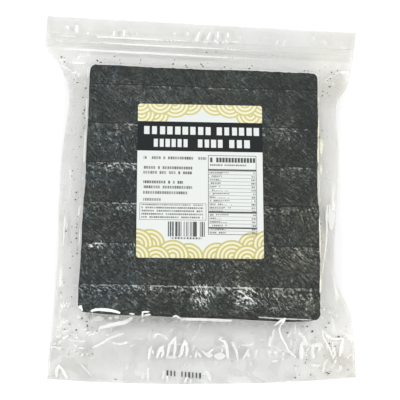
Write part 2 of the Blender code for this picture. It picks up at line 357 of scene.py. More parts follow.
# creases of the front film, each a ridge with a painted highlight, in groups: how high they stand and the
# pitch they are broken at in mm (0 for unbroken), then for each its width in mm, how strong its painted
# highlight is, and its points (x, y) in mm
creases = dict(
    zipLines=(0.1, 0, (
        (1.5, 1.0, (-90, 136), (-64, 136), (-34, 135)), (1.0, 0.45, (-122, 136), (-108, 136)),
        (1.5, 1.0, (-84, 130.5), (-50, 129.5), (-2, 129), (17.5, 128.5)),
        (1.0, 0.5, (-125, 131.5), (-118, 130.5)),
        (1.7, 1.0, (-118, 124), (-77, 123), (-28, 122), (6, 121), (22, 121)),
    )),
    zipDots=(0.1, 3.1, (
        (1.4, 0.9, (-34, 135), (-12, 135)), (1.3, 0.9, (17.5, 128.5), (32, 128.2)),
        (1.0, 0.6, (-12, 135), (14, 134.5)), (0.9, 0.5, (32, 128.2), (58, 127.5)),
        (1.2, 0.6, (22, 121), (60, 120)), (1.0, 0.4, (-108, 130.5), (-84, 130.5)),
    )),
    headerBars=(0.25, 0, (
        (2.3, 1.0, (-108, 147), (-107.5, 140)), (2.4, 0.7, (-117, 145.5), (-114.5, 143)),
        (1.8, 1.0, (-76, 142), (-76, 138)), (1.8, 1.0, (-67.5, 144), (-67.5, 138.5)),
        (1.4, 0.5, (-57, 141), (-56.5, 139)), (1.7, 0.9, (-13, 144), (-13, 141)),
        (1.7, 0.95, (-3, 144.5), (-5.5, 136)), (1.6, 0.95, (6, 144), (3.5, 137)),
        (1.7, 1.0, (13, 145), (13, 139)), (1.9, 0.9, (10, 137), (13.5, 134)),
        (1.6, 1.0, (22, 144.5), (21.5, 140)), (1.4, 0.8, (16.5, 135.5), (17.5, 134)),
        (1.4, 0.8, (20, 137), (22.5, 133.5)), (1.2, 0.5, (25.5, 136), (32, 136)),
        (1.0, 0.6, (32.5, 142), (32.5, 139)), (1.2, 0.7, (65, 139.5), (64, 135)),
        (0.9, 0.7, (71, 139.5), (69.5, 135), (71.5, 132.5)), (1.6, 0.5, (95, 142.5), (97, 142.5)),
        (2.0, 0.4, (104.5, 140), (107.5, 137.5)), (1.4, 0.9, (119, 133.5), (124, 133.5)),
        (1.4, 0.8, (-25, 143), (-23, 142)), (1.6, 0.4, (-99, 138), (-98, 141)),
    )),
    neck=(0.7, 0, (
        (1.9, 0.95, (-111, 111), (-98.5, 110.5)), (1.1, 0.5, (-119, 114), (-114, 112.5)),
        (1.6, 0.6, (-119.5, 111.5), (-118, 111)),
        (1.2, 0.8, (-118, 108.5), (-112, 104), (-106.5, 102), (-103.5, 100.5), (-102.5, 97)),
        (1.8, 0.6, (-111.5, 91), (-106.5, 91.5)), (2.2, 1.0, (118.5, 110.5), (125.5, 111)),
        (1.8, 0.6, (111.5, 101.5), (111.5, 98)), (1.2, 0.3, (103, 99), (108, 106), (118, 111)),
    )),
    leftMargin=(0.7, 0, (
        (1.4, 0.85, (-111, -18), (-111.5, -26), (-111.5, -45)), (1.4, 0.75, (-111, -60.5), (-112.5, -64)),
        (1.2, 0.7, (-99.5, -20.5), (-99.5, -24.5)), (1.4, 0.8, (-115, -91.5), (-112, -94), (-111, -95.5)),
        (2.0, 0.9, (-109, -95.5), (-108, -96)), (1.5, 0.6, (-106, -93), (-105, -96.5)),
        (1.5, 0.4, (-104.5, -84), (-100, -81)),
    )),
    leftEdge=(0.3, 0, (
        (1.0, 0.55, (-96.5, 103), (-96, 94)), (1.0, 0.55, (-96.5, 76.5), (-96, 54.5)),
        (1.0, 0.5, (-96.5, 50.5), (-96.3, 33)), (1.0, 0.6, (-97, 31.5), (-96.5, 20.5)),
        (1.2, 0.9, (-97, 7.5), (-97, 4)), (1.0, 0.5, (-98.3, -13.5), (-98.3, -22)),
        (1.0, 0.5, (-98, -34), (-97.8, -50.5)), (1.7, 0.95, (-96, -99), (-94.5, -98.7), (-93.2, -101.2)),
        (1.6, 0.7, (-96.5, -104), (-96.5, -106)),
    )),
    rightEdge=(0.4, 2.3, (
        (0.8, 0.7, (98.9, 84), (98.8, 53)), (3.8, 1.0, (98.9, 49), (99.7, 44), (99.1, 34)),
        (3.0, 1.0, (98.5, 27), (99.1, 24), (98.7, 19)), (0.8, 0.6, (98.2, 17), (98.4, 6)),
    )),
    rightMargin=(1.1, 0, (
        (1.3, 1.0, (105.3, -5), (105, -13), (104.4, -25), (103.2, -39), (101.4, -49), (99.2, -60.5),
         (97.5, -72)),
        (6.0, 0.8, (107.5, -9), (109.5, -15), (109, -22)), (1.6, 0.8, (103.5, -70.5), (103.5, -72.5)),
        (1.6, 0.9, (100, -90.5), (102.5, -91.5)), (1.5, 0.9, (99.3, -94), (99.7, -95)),
        (1.8, 0.9, (107.5, -93), (110, -94.5)), (1.8, 0.9, (109.5, -96.5), (112.5, -98.5)),
        (1.5, 0.8, (96.5, -102.5), (97.8, -102.5)),
    )),
    frontEdge=(0.3, 0, (
        (2.2, 1.0, (-86, -101.2), (-83, -100.2), (-79, -99.9), (-73.5, -100.3), (-69.5, -100.8),
         (-64, -102.2)),
        (1.0, 0.9, (-46.5, -101.3), (-40.5, -101)), (1.5, 0.8, (-46, -102), (-46, -105)),
        (1.5, 0.7, (-44, -103.7), (-40, -103.2)),
        (1.5, 0.9, (-22, -104.5), (-19.5, -103.7), (-15.5, -106), (-3.5, -106), (16.5, -106.3),
         (24.5, -106.4)),
        (0.8, 0.4, (46, -103.5), (62, -104.3), (88, -104.9)),
        (3.0, 0.7, (-84.5, -106.5), (-77.5, -106.5)), (1.3, 0.8, (-73.5, -106), (-70, -106)),
        (1.3, 0.8, (-68, -105.5), (-64.5, -105.5)), (1.2, 0.7, (-56, -102.7), (-52.5, -103.2)),
    )),
    frontMargin=(0.7, 0, (
        (2.7, 0.95, (-79.5, -112.5), (-70, -110.5), (-59.5, -108.5), (-54.5, -106)),
        (1.6, 0.8, (-81, -114), (-80, -114.5)), (1.6, 0.8, (-74, -117.5), (-73, -117.5)),
        (1.3, 0.8, (-85, -127.5), (-78.5, -124), (-71.5, -120), (-60.5, -116.5)),
        (1.2, 0.6, (-47, -108), (-44.5, -106.5)), (1.3, 0.35, (-102.5, -122), (-90.5, -122.5)),
        (1.6, 0.7, (-99, -126), (-98, -126)), (1.6, 0.7, (-95.5, -128), (-92, -128)),
        (1.7, 0.95, (-38, -125.5), (-39, -128.5), (-40, -135.5)),
        (1.4, 0.9, (-37, -128.5), (-36.5, -131.5)),
        (2.3, 0.95, (-28.5, -125.5), (-31, -127.5), (-33.5, -134.5)),
        (2.2, 0.95, (-29, -127), (-28.5, -131), (-30, -134)),
        (2.0, 0.95, (-19, -118.5), (-23.5, -124), (-25.5, -133.5)),
        (2.0, 0.95, (-19, -120), (-19, -126), (-20, -134)), (2.2, 0.6, (-26, -134), (-18, -134)),
        (2.3, 0.95, (-11, -121), (-13, -125), (-14, -131.5), (-16, -133.5)),
        (2.2, 0.95, (-10, -122.5), (-9.5, -128), (-10, -133)), (2.0, 0.7, (-7, -133), (-6, -133)),
        (1.8, 0.9, (-1.5, -128.5), (-2.5, -133.5)), (1.8, 0.9, (0, -130), (1.5, -133.5)),
        (2.0, 0.9, (2, -128.5), (6.5, -131), (11.5, -127)), (3.5, 0.75, (6, -131.5), (10.5, -132)),
        (5.5, 0.85, (14, -132.5), (20, -132.5)), (1.4, 0.6, (18.5, -126), (19, -129)),
        (2.3, 0.95, (18, -120.5), (20.5, -121), (22.5, -125), (23.5, -134)),
        (1.3, 0.8, (26, -121.5), (28, -122), (30, -128), (31.5, -135)),
        (1.1, 0.5, (32.5, -123), (32.5, -125.5)), (2.0, 0.9, (40, -126.5), (39, -128.5), (36, -134)),
        (2.0, 0.8, (40, -129.5), (40, -132.5)), (1.9, 0.35, (47, -126), (46, -131)),
        (2.2, 0.6, (57, -117), (57, -123.5)), (1.8, 0.6, (56.5, -127), (57.5, -131)),
    )),
    rightCorner=(0.9, 0, (
        (1.6, 1.0, (59.5, -109), (62, -107), (66.5, -104.5), (65.5, -107), (64, -109)),
        (1.6, 0.95, (64, -109), (63.5, -112), (66.5, -118), (70.5, -123.5), (72, -126.5)),
        (1.2, 0.6, (72, -126.5), (75.5, -129.5), (78, -132.5)), (1.6, 0.6, (59.5, -112), (58.5, -119.5)),
        (1.4, 0.4, (73, -113.5), (71, -117.5)), (3.0, 0.8, (61, -128.5), (63, -129)),
        (1.8, 0.7, (68, -129), (68.5, -129.5)), (1.6, 0.7, (59, -136), (63.5, -135.5)),
        (1.9, 0.95, (79.5, -114), (84.5, -117), (88, -122)), (3.0, 0.45, (83, -120.5), (87, -121.5)),
        (3.0, 0.95, (83, -122.5), (83, -133)), (2.6, 0.8, (92, -122.5), (96.5, -122.5)),
        (2.4, 0.8, (93, -122), (92, -128.5), (92.5, -132.5)), (2.4, 0.8, (98.5, -123), (97.5, -126)),
        (1.4, 1.0, (100, -110.5), (100.5, -114.5), (105, -123), (109.5, -132.5), (111, -136.5)),
        (1.5, 1.0, (102, -111), (104, -114), (107.5, -116.5), (112.5, -117), (117, -116.5)),
        (2.3, 0.95, (117, -117.5), (116, -121.5), (114.5, -130)),
        (1.4, 0.85, (108.5, -118.5), (108.5, -123.5), (111.5, -132)),
        (1.2, 0.5, (116.5, -110.5), (119, -112.5), (122, -115.5), (123.5, -118.5)),
        (1.6, 0.75, (91, -138.5), (98.5, -138.5)),
    )),
    foot=(0.5, 0, (
        (2.2, 0.85, (-111, -141.5), (-112.5, -144), (-113, -148), (-112.5, -151)),
        (1.2, 0.4, (-94, -140.5), (-84.5, -150.5)),
        (2.2, 0.85, (-110.5, -142.5), (-108, -145.5), (-104.5, -152)),
        (1.6, 0.6, (-40.5, -143), (-40, -152.5)), (1.4, 0.6, (-45, -149), (-44, -151.5)),
        (1.4, 0.6, (-27.5, -145), (-28.5, -151.5)), (1.4, 0.7, (-25, -145.5), (-25, -153.5)),
        (1.5, 0.8, (-9, -149.5), (-11, -154)), (1.5, 0.7, (-6.5, -151), (-6, -154)),
        (2.8, 0.4, (7, -144.5), (9.5, -151.5)),
    )),
)
random.seed(11)


def addTicks(count, box, lean, length, width, paintedHighlight):
    # short faint creases with painted highlights, scattered in a box (x0, x1, y0, y1), all leaning about
    # one way
    ticks = []
    x0, x1, y0, y1 = box
    for _ in range(count):
        start = np.array([random.uniform(x0, x1), random.uniform(y0, y1)])
        turn = math.radians(random.gauss(lean, 22))
        run = random.uniform(0.5, 1.0) * length
        end = start + (run * math.cos(turn), run * math.sin(turn))
        middle = (start + end) / 2 + (random.uniform(-0.8, 0.8), random.uniform(-0.8, 0.8))
        ownWidth, ownHighlight = width * random.uniform(0.7, 1.2), paintedHighlight * random.uniform(0.3, 1.0)
        ticks.append((ownWidth, ownHighlight, start, middle, end))
    return ticks


# a broken painted highlight down the pile's right edge: where it starts and ends, and the range of each
# stroke's place, length, lean, width, painted highlight strength and distance to the next, in mm or in its
# own length
rimLight = dict(top=84, foot=-86, place=(95.2, 96.2), run=(2, 7), lean=(-0.5, 0.5), width=(0.8, 1.4),
                paintedHighlight=(0.5, 0.95), step=(0.9, 1.5))


def rimStrokes():
    strokes, y = [], rimLight["top"]
    while y > rimLight["foot"]:
        x = random.uniform(*rimLight["place"])
        run = random.uniform(*rimLight["run"])
        end = (x + random.uniform(*rimLight["lean"]), y - run)
        width, paintedHighlight = random.uniform(*rimLight["width"]), random.uniform(*rimLight["paintedHighlight"])
        strokes.append((width, paintedHighlight, (x, y), end))
        y -= run * random.uniform(*rimLight["step"])
    return strokes


creases["scattered"] = (0.3, 0, (
    *addTicks(10, (-125, 122, 140, 146), 85, 4, 1.2, 0.25),  # header
    *addTicks(12, (-128, -98, 98, 120), -40, 6, 1.2, 0.35),  # left of the neck
    *addTicks(8, (100, 122, 96, 116), 40, 6, 1.2, 0.30),  # right of the neck
    *addTicks(16, (-115, -99, -98, 90), 80, 7, 1.2, 0.30),  # left margin
    *addTicks(12, (100, 111, -60, 80), 88, 7, 1.0, 0.25),  # right margin
    *addTicks(26, (-117, -86, -136, -106), 25, 4, 1.4, 0.60),  # left front corner
    *addTicks(10, (-84, 54, -150, -139), 80, 5, 1.1, 0.30),
    *addTicks(14, (-70, 56, -136, -110), 75, 6, 1.1, 0.30),
    *addTicks(16, (66, 124, -146, -114), 70, 6, 1.3, 0.45),  # right front corner
))
creases["rightRim"] = (0.0, 0, rimStrokes())


def nearLine(x, y, points):
    # distance to a line of points, how far along it, and its length
    points = np.array(points) * mm
    runs = np.diff(points, axis=0)
    lengths = np.hypot(runs[:, 0], runs[:, 1])
    best = np.full(x.shape, 1.0)
    along = np.zeros(x.shape)
    done = 0.0
    for start, run, length in zip(points, runs, lengths):
        t = clamp(((x - start[0]) * run[0] + (y - start[1]) * run[1]) / length ** 2)
        away = np.hypot(x - start[0] - t * run[0], y - start[1] - t * run[1])
        nearer = away < best
        along = np.where(nearer, (done + t * length) / lengths.sum(), along)
        best = np.where(nearer, away, best)
        done += length
    return best, along, lengths.sum()


# how a crease is drawn: how far to both sides of its outline, how thin its ends are, how deep it is broken
drawn = dict(edge=0.8 * mm, thinEnd=0.35, broken=0.28)


def drawCreases(x, y):
    # how far the creases raise the film, how deep in one each place is (0.5 on its outline), and its
    # painted highlight
    raised, inside, paintedHighlight = (np.zeros(x.shape) for _ in range(3))
    for rise, pitch, strokes in creases.values():
        for width, highlightStrength, *points in strokes:
            reach = (width + 1.0) * mm
            low = np.min(points, axis=0) * mm - reach
            high = np.max(points, axis=0) * mm + reach
            near = (x > low[0]) & (x < high[0]) & (y > low[1]) & (y < high[1])
            if not near.any():
                continue
            away, along, length = nearLine(x[near], y[near], points)
            taper = np.sqrt(np.sin(math.pi * clamp(0.04 + 0.92 * along)))
            bump = np.where(away < width * mm, np.cos(0.5 * math.pi * away / (width * mm)) ** 2, 0)
            raised[near] = np.maximum(raised[near], rise * mm * bump * taper)
            halfWidth = width / 2 * mm * mix(drawn["thinEnd"], 1, taper)
            depth = clamp(0.5 + (halfWidth - away) / (2 * drawn["edge"]))
            if pitch:
                wave = np.sin(2 * math.pi * along * length / (pitch * mm))
                depth = depth * (1 - drawn["broken"] + drawn["broken"] * wave)
            deeper = depth > inside[near]
            inside[near] = np.where(deeper, depth, inside[near])
            paintedHighlight[near] = np.where(deeper, highlightStrength, paintedHighlight[near])
    return raised, inside, paintedHighlight


haze = dict(  # how milky the film looks, each time it is crossed
    overNori=0.004, leftMargin=0.011, rightMargin=0.0125, front=0.043, header=0.040, underHeader=0.028,
    rim=0.014, rimWidth=8 * mm,  # milkier, and so darker, still along the sides and the bottom: painted shade
    zipZone=18 * mm, frontFrom=112 * mm, frontOver=22 * mm,  # where header and front margin start
    shadeVeils=(  # where it is milkier and darker, painted shade: x, y, reach along x, reach along y in mm, how much
        (-104, -132, 26, 18, 0.018), (114, 98, 11, 16, 0.052), (100, 112, 24, 6, 0.012),
        (110, -130, 18, 20, 0.012), (-6, -123, 60, 13, 0.020), (-116, 106, 12, 16, 0.014),
    ),
    clouds=(  # finely crumpled places, given a painted highlight: the same, and how dense
        (-110, -117, 9, 13, 0.40), (110, -138, 14, 10, 0.36), (-124, 104, 8, 8, 0.38),
        (120, 104, 7, 9, 0.36), (109, -19, 5, 10, 0.38), (14, -133, 10, 4, 0.36), (108, -98, 8, 7, 0.38),
    ),
    cloudHighlight=0.6, glareLeft=0.45, glareRight=0.18,  # the painted glare, a painted reflection, lies over the front side of the pile
    glareFrom=(0.6 * mm, 1.6 * mm), glareTo=6.5 * mm, glareBelow=99 * mm, glareSide=92 * mm,
)


def filmHaze(x, y):
    off = smooth(offStack(x, y) / (6 * mm))
    overZip = smooth((y - headerLow(x)) / (2 * mm))
    aboveZip = smooth((y - headerTop(x) + haze["zipZone"]) / (2 * mm))
    side = np.where(x < 0, haze["leftMargin"], haze["rightMargin"])
    low = mix(side, haze["front"], smooth((-y - haze["frontFrom"]) / haze["frontOver"]))
    margin = mix(mix(low, haze["underHeader"], overZip), haze["header"], aboveZip)
    # painted shade: darker patches, and darker still along the rim
    for *spot, amount in haze["shadeVeils"]:
        margin = margin + amount * oval(x, y, *spot)
    margin = margin + haze["rim"] * smooth(1 - rimDistance(x, y) / haze["rimWidth"])
    return mix(haze["overNori"], margin, off)


def frontGlare(x, y):  # painted glare: broken pale patches of painted reflection in front of the pile
    amount = mix(haze["glareLeft"], haze["glareRight"], smooth((x + 45 * mm) / (70 * mm)))
    start = mix(*haze["glareFrom"], smooth((x + 60 * mm) / (60 * mm)))
    off = offStack(x, y)
    band = smooth((off - start) / (0.8 * mm)) * smooth((haze["glareTo"] - off) / (2.5 * mm))
    band = band * smooth((-y - haze["glareBelow"]) / (2 * mm))
    band = band * smooth((haze["glareSide"] - np.abs(x)) / (6 * mm))
    return amount * band * (0.35 + 0.65 * smooth(0.5 + 1.4 * noiseField(x, y, 3, 2, 9.1)))


zipStrip = dict(
    tapeThickness=0.35 * mm, wall=0.25 * mm, cuts=12, shorter=0.997,
    rises=(0.6, 0.3), ribTop=0.5,  # each rib goes up in two steps, shares of its height, then narrows
    rows=28, rowsAbove=17,  # the front film's rows over it and above it
    dim=(0.78, 0.79, 0.77), pale=(0.86, 0.865, 0.85), clear=(0.990, 0.990, 0.986), milk=(0.035, 0.05),
    mirror=0.35,
    # each rib: its place up the tape, width, height
    ribs=((5.1 * mm, 1.5 * mm, 0.9 * mm), (-1.1 * mm, 1.5 * mm, 0.9 * mm), (-5 * mm, 1.1 * mm, 0.5 * mm)),
)
zipTurn = math.atan(headerTop(1) - headerTop(0))
zipLength, zipWidth = plateSides("zip_strip", zipTurn)
zipLow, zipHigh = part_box("zip_strip")
zipCentre = (zipLow + zipHigh) / 2


def upZip(x, y):  # distance up the header from the zip's middle line
    return (y - zipCentre[1] - (x - zipCentre[0]) * math.tan(zipTurn)) * math.cos(zipTurn)


def zipBulge(x, y):  # how far the front film stands up over the zip
    up = upZip(x, y)
    tape = zipStrip["tapeThickness"] * smooth((zipWidth / 2 + 0.6 * mm - np.abs(up)) / (0.8 * mm))
    rise = tape
    for place, width, height in zipStrip["ribs"]:
        away = np.abs(up - place) / (width * 0.95)
        rise = np.maximum(rise, tape + height * np.where(away < 1, np.cos(0.5 * math.pi * away) ** 2, 0))
    inside = smooth((zipLength / 2 + 1 * mm - np.abs(x - zipCentre[0])) / (2 * mm))
    return rise * inside


def frontHeight(x, y):  # height of the front film's upper face, and its creases with their painted highlights
    share = slopeShare(x, y)
    gap = mix(bag["seamGap"], bag["pairGap"], smooth(rimDistance(x, y) / bag["seamWidth"]))
    top = stack["height"] + bag["filmOverStack"]
    lying = lift(x, y) + 2 * bag["filmThickness"] + gap
    height = mix(lying, top, (1 - share) ** bag["slopePower"])
    raised, inside, paintedHighlight = drawCreases(x, y)
    onMargin = smooth(share * 5)
    height += (raised + ripples(x, y, bag["marginRipples"])) * onMargin
    height += (ripples(x, y, bag["topRipples"]) - bag["sag"]) * (1 - onMargin)
    dense = strongest(x, y, haze["clouds"]) * onMargin
    # the crumpled places are given a painted highlight
    paintedHighlight = np.where(dense > inside, haze["cloudHighlight"], paintedHighlight)
    inside = np.maximum(inside, dense)
    clearOfBack = lift(x, y) * smooth(share) + 2.5 * bag["filmThickness"]
    return np.maximum(height + zipBulge(x, y), clearOfBack), inside, paintedHighlight


def backHeight(x, y):
    return lift(x, y) * smooth(slopeShare(x, y))


def mathsNode(operation, swapped=False):  # an operator of the class below, as a Math node
    def operate(self, other):
        first, second = (other, self) if swapped else (self, other)
        return self.node("Math", {"operation": operation}, {0: first, 1: second})
    return operate


class Wire:  # a shader socket that can stand in a sum
    def __init__(self, tree, socket=None):
        self.tree = tree
        self.socket = socket

    def node(self, kind, settings=(), sockets=(), out=0):
        made = self.tree.nodes.new("ShaderNode" + kind)
        for name, value in dict(settings).items():
            setattr(made, name, value)
        for name, value in dict(sockets).items():
            if isinstance(value, Wire):
                self.tree.links.new(value.socket, made.inputs[name])
            elif isinstance(value, tuple) and len(made.inputs[name].default_value) == 4:
                made.inputs[name].default_value = (*value, 1)
            else:
                made.inputs[name].default_value = value
        return Wire(self.tree, made.outputs[out])

    __add__, __radd__ = mathsNode("ADD"), mathsNode("ADD", True)
    __sub__, __rsub__ = mathsNode("SUBTRACT"), mathsNode("SUBTRACT", True)
    __mul__, __rmul__ = mathsNode("MULTIPLY"), mathsNode("MULTIPLY", True)
    __truediv__, __rtruediv__ = mathsNode("DIVIDE"), mathsNode("DIVIDE", True)
    __pow__, __lt__, __gt__ = mathsNode("POWER"), mathsNode("LESS_THAN"), mathsNode("GREATER_THAN")
    atLeast, atMost = mathsNode("MAXIMUM"), mathsNode("MINIMUM")

    def alone(self, operation):
        return self.node("Math", {"operation": operation}, {0: self})

    def floor(self):
        return self.alone("FLOOR")

    def fraction(self):
        return self.alone("FRACT")

    def size(self):
        return self.alone("ABSOLUTE")

    def between(self, low, high):
        return (self > low) * (self < high)

    def ramp(self, low, high, start=0.0, end=1.0):  # start to end, as this goes from low to high
        sockets = {"Value": self, "From Min": low, "From Max": high, "To Min": start, "To Max": end}
        return self.node("MapRange", {"interpolation_type": "SMOOTHSTEP"}, sockets)

    def part(self, axis):
        return self.node("SeparateXYZ", (), {0: self}, axis)

    def tinted(self, tint):
        return self.node("VectorMath", {"operation": "MULTIPLY"}, {0: self, 1: tint})

    def paint(self, under, over):  # two colours, with this as the mask
        return self.node("Mix", {"data_type": "RGBA"}, {0: self, 6: under, 7: over}, 2)


def newMaterial(name, **plain):  # with the shader's plain sockets set
    made = bpy.data.materials.new(name)
    made.use_nodes = True
    shader = made.node_tree.nodes["Principled BSDF"]
    for socket, value in plain.items():
        shader.inputs[socket.replace("_", " ")].default_value = value
    return made, Wire(made.node_tree), shader


def feed(shader, **wires):
    for socket, wire in wires.items():
        wire.tree.links.new(wire.socket, shader.inputs[socket.replace("_", " ")])


def seeThrough(made, wire, shader, cover, tint):  # the shader over clear, as much as cover says
    clear = wire.node("BsdfTransparent", (), {"Color": tint})
    both = wire.node("MixShader", (), {0: cover, 1: clear, 2: Wire(wire.tree, shader.outputs[0])})
    feed(made.node_tree.nodes["Material Output"], Surface=both)


def ownPlace(wire):
    return wire.node("TexCoord", out="Object")


def pointValue(wire, name):
    return wire.node("Attribute", {"attribute_name": name}, out="Fac")


def noiseAt(wire, place, scale, detail=2.0, stretch=(1, 1, 1), turn=0.0, rough=0.55):
    mapping = {"Vector": place, "Scale": stretch, "Rotation": (0, 0, turn)}
    turned = wire.node("Mapping", {"vector_type": "TEXTURE"}, mapping)
    sockets = {"Vector": turned, "Scale": scale, "Detail": detail, "Roughness": rough}
    return wire.node("TexNoise", (), sockets)


def bumpOf(height, strength, distance):
    return height.node("Bump", (), {"Height": height, "Strength": strength, "Distance": distance})


def mixed(first, second, share):
    return first + (second - first) * share


def glancing(wire):  # how much a clear surface mirrors, seen from either side
    facing = wire.node("LayerWeight", (), {"Blend": 0.5}, 1)
    return facing ** 5 * 0.96 + 0.04


filmLook = dict(
    clear=(0.9880, 0.9885, 0.9855), grey=(0.50, 0.51, 0.48), warmGrey=(0.62, 0.585, 0.49), mirror=0.3,
    # painted light: the creases' painted highlight colour, its yellower kind, how opaque it is, and the
    # painted dark border beside it
    paintedHighlight=(0.98, 0.985, 0.965), creamHighlight=(0.99, 0.98, 0.80), cover=0.97, outline=0.05,
    paintedGlow=(0.035, 0.035, 0.032),  # a painted glow, to keep the painted highlights bright
    # mm: the painted highlights of the creases by the pile's right edge are yellower, the haze is warmer
    # to the right and without its painted facets of reflection on the header, and the right margin mirrors
    # less
    creamX=(91, 93, 101, 105), creamY=(-90, -70, 90, 100), warmX=(80, 105), facetsEnd=(108, 122),
    dullX=(99, 106), dullY=(4, 20, 100, 106), dullRough=0.25, dullMetal=0.75,
)


def fadeIn(axis, low, high):  # 0 below low and 1 above high, in mm
    return axis.ramp(low * mm, high * mm)


def fadeInOut(axis, low, lowEnd, highStart, high):
    return fadeIn(axis, low, lowEnd) * (1 - fadeIn(axis, highStart, high))


def filmMaterial(name):
    made, wire, shader = newMaterial(name, Emission_Strength=1.0)
    place = ownPlace(wire)
    # creases: a painted highlight inside, with a ragged outline
    ragged = (noiseAt(wire, place, 850, 2) - 0.5) * 0.36 + (noiseAt(wire, place, 230, 1) - 0.5) * 0.32
    inside = pointValue(wire, "crease") + ragged
    # painted shade: a dark border around each crease's painted highlight
    outline = inside.ramp(0.12, 0.30) - inside.ramp(0.30, 0.46)
    paintedHighlight = inside.ramp(0.40, 0.49) * pointValue(wire, "paintedHighlight") * filmLook["cover"]
    # haze: cloudy, and in facets below the zip, the facets a painted reflection
    cloud = noiseAt(wire, place, 38, 3).ramp(0.3, 0.75, 0.8, 1.25)
    drift = wire.node("TexNoise", (), {"Vector": place, "Scale": 45}, "Color")
    bent = wire.node("VectorMath", {"operation": "MULTIPLY_ADD"}, {0: drift, 1: (0.02, 0.02, 0), 2: place})
    facets = {"Vector": bent, "Scale": 105}
    facet = wire.node("TexVoronoi", {"voronoi_dimensions": "2D"}, facets, "Color").part(0)
    x, y = place.part(0), place.part(1)
    cloud = cloud * mixed(facet.ramp(0, 1, 0.7, 1.4), 1, fadeIn(y, *filmLook["facetsEnd"]))
    shade = pointValue(wire, "haze") * cloud + glancing(wire) * filmLook["mirror"]
    shade = shade + outline * pointValue(wire, "paintedHighlight") * filmLook["outline"]  # a painted dark border, painted shade, beside each painted highlight
    cover = shade + (1 - shade) * paintedHighlight
    highlightShare = (1 - shade) * paintedHighlight / cover
    creamy = fadeInOut(x, *filmLook["creamX"]) * fadeInOut(y, *filmLook["creamY"])
    grey = fadeIn(x, *filmLook["warmX"]).paint(filmLook["grey"], filmLook["warmGrey"])
    feed(shader, Base_Color=highlightShare.paint(grey, creamy.paint(filmLook["paintedHighlight"], filmLook["creamHighlight"])))
    # a painted glow on the painted highlights
    feed(shader, Emission_Color=highlightShare.paint((0, 0, 0), filmLook["paintedGlow"]))
    dull = fadeIn(x, *filmLook["dullX"]) * fadeInOut(y, *filmLook["dullY"])
    feed(shader, Roughness=highlightShare.ramp(0, 1, 0.14, 0.45) + dull * filmLook["dullRough"])
    feed(shader, Metallic=(0.6 - highlightShare * 0.6) * (1 - dull * filmLook["dullMetal"]))
    crinkle = noiseAt(wire, place, 260, 4, stretch=(1, 1.8, 1), turn=0.3)
    feed(shader, Normal=bumpOf(crinkle, 0.10, 1.2 * mm))
    seeThrough(made, wire, shader, cover, filmLook["clear"])
    return made


view = dict(
    place=(-53.1 * mm, -218.6 * mm, 888.3 * mm), tip=13.624, swing=-3.303, roll=1.502, lens=99.0,
    sensor=36, nearest=10 * mm,
)


def addCamera():
    bpy.ops.object.camera_add(location=view["place"])
    camera = bpy.context.active_object
    camera.rotation_mode = "ZYX"
    camera.rotation_euler = [math.radians(view[key]) for key in ("tip", "swing", "roll")]
    camera.data.lens = view["lens"]
    camera.data.sensor_width = view["sensor"]
    camera.data.clip_start = view["nearest"]
    bpy.context.scene.camera = camera


studio = dict(
    world=0.50, floor=(0.97, 0.97, 0.97), floorPale=(0.98, 0.98, 0.98), floorGlow=0.10,
    floorSize=6, floorZ=-0.4 * mm, floorRough=0.7, clearFaces=32,  # the films lie several faces deep
    lamps=(  # name, place, size, watts
        ("rightLamp", (0.90, 0.10, 1.0), (0.5, 0.3), 4.4),
        ("leftLamp", (-0.95, 0.0, 1.0), (0.5, 0.3), 4.9),
        ("frontLamp", (0.05, -1.0, 1.0), (0.6, 0.2), 4.5),
        ("backLamp", (-0.30, 1.2, 0.8), (0.6, 0.2), 3.5),
    ),
)


def addStudio():
    world = bpy.data.worlds.new("studio")
    bpy.context.scene.world = world
    world.use_nodes = True
    world.node_tree.nodes["Background"].inputs["Strength"].default_value = studio["world"]
    world.node_tree.nodes["Background"].inputs["Color"].default_value = (1, 1, 1, 1)
    for name, place, size, watts in studio["lamps"]:
        bpy.ops.object.light_add(type="AREA", location=place)
        lamp = bpy.context.active_object
        lamp.name = name
        lamp.data.shape = "RECTANGLE"
        lamp.data.size, lamp.data.size_y = size
        lamp.data.energy = watts
        lamp.rotation_euler = (-Vector(place)).to_track_quat("-Z", "Y").to_euler()
    bpy.context.scene.view_settings.view_transform = "Standard"
    bpy.context.scene.cycles.transparent_max_bounces = studio["clearFaces"]


def addFloor():
    deselectAll()
    bpy.ops.mesh.primitive_plane_add(size=studio["floorSize"], location=(0, 0, studio["floorZ"]))
    floor = named("floor")
    plain = dict(Roughness=studio["floorRough"], Emission_Strength=studio["floorGlow"])
    made, wire, shader = newMaterial("pale_floor", **plain)
    shader.inputs["Emission Color"].default_value = (1, 1, 1, 1)
    feed(shader, Base_Color=noiseAt(wire, ownPlace(wire), 3).paint(studio["floor"], studio["floorPale"]))
    floor.data.materials.append(made)


addCamera()
addStudio()
addFloor()
print("camera, light and floor set")


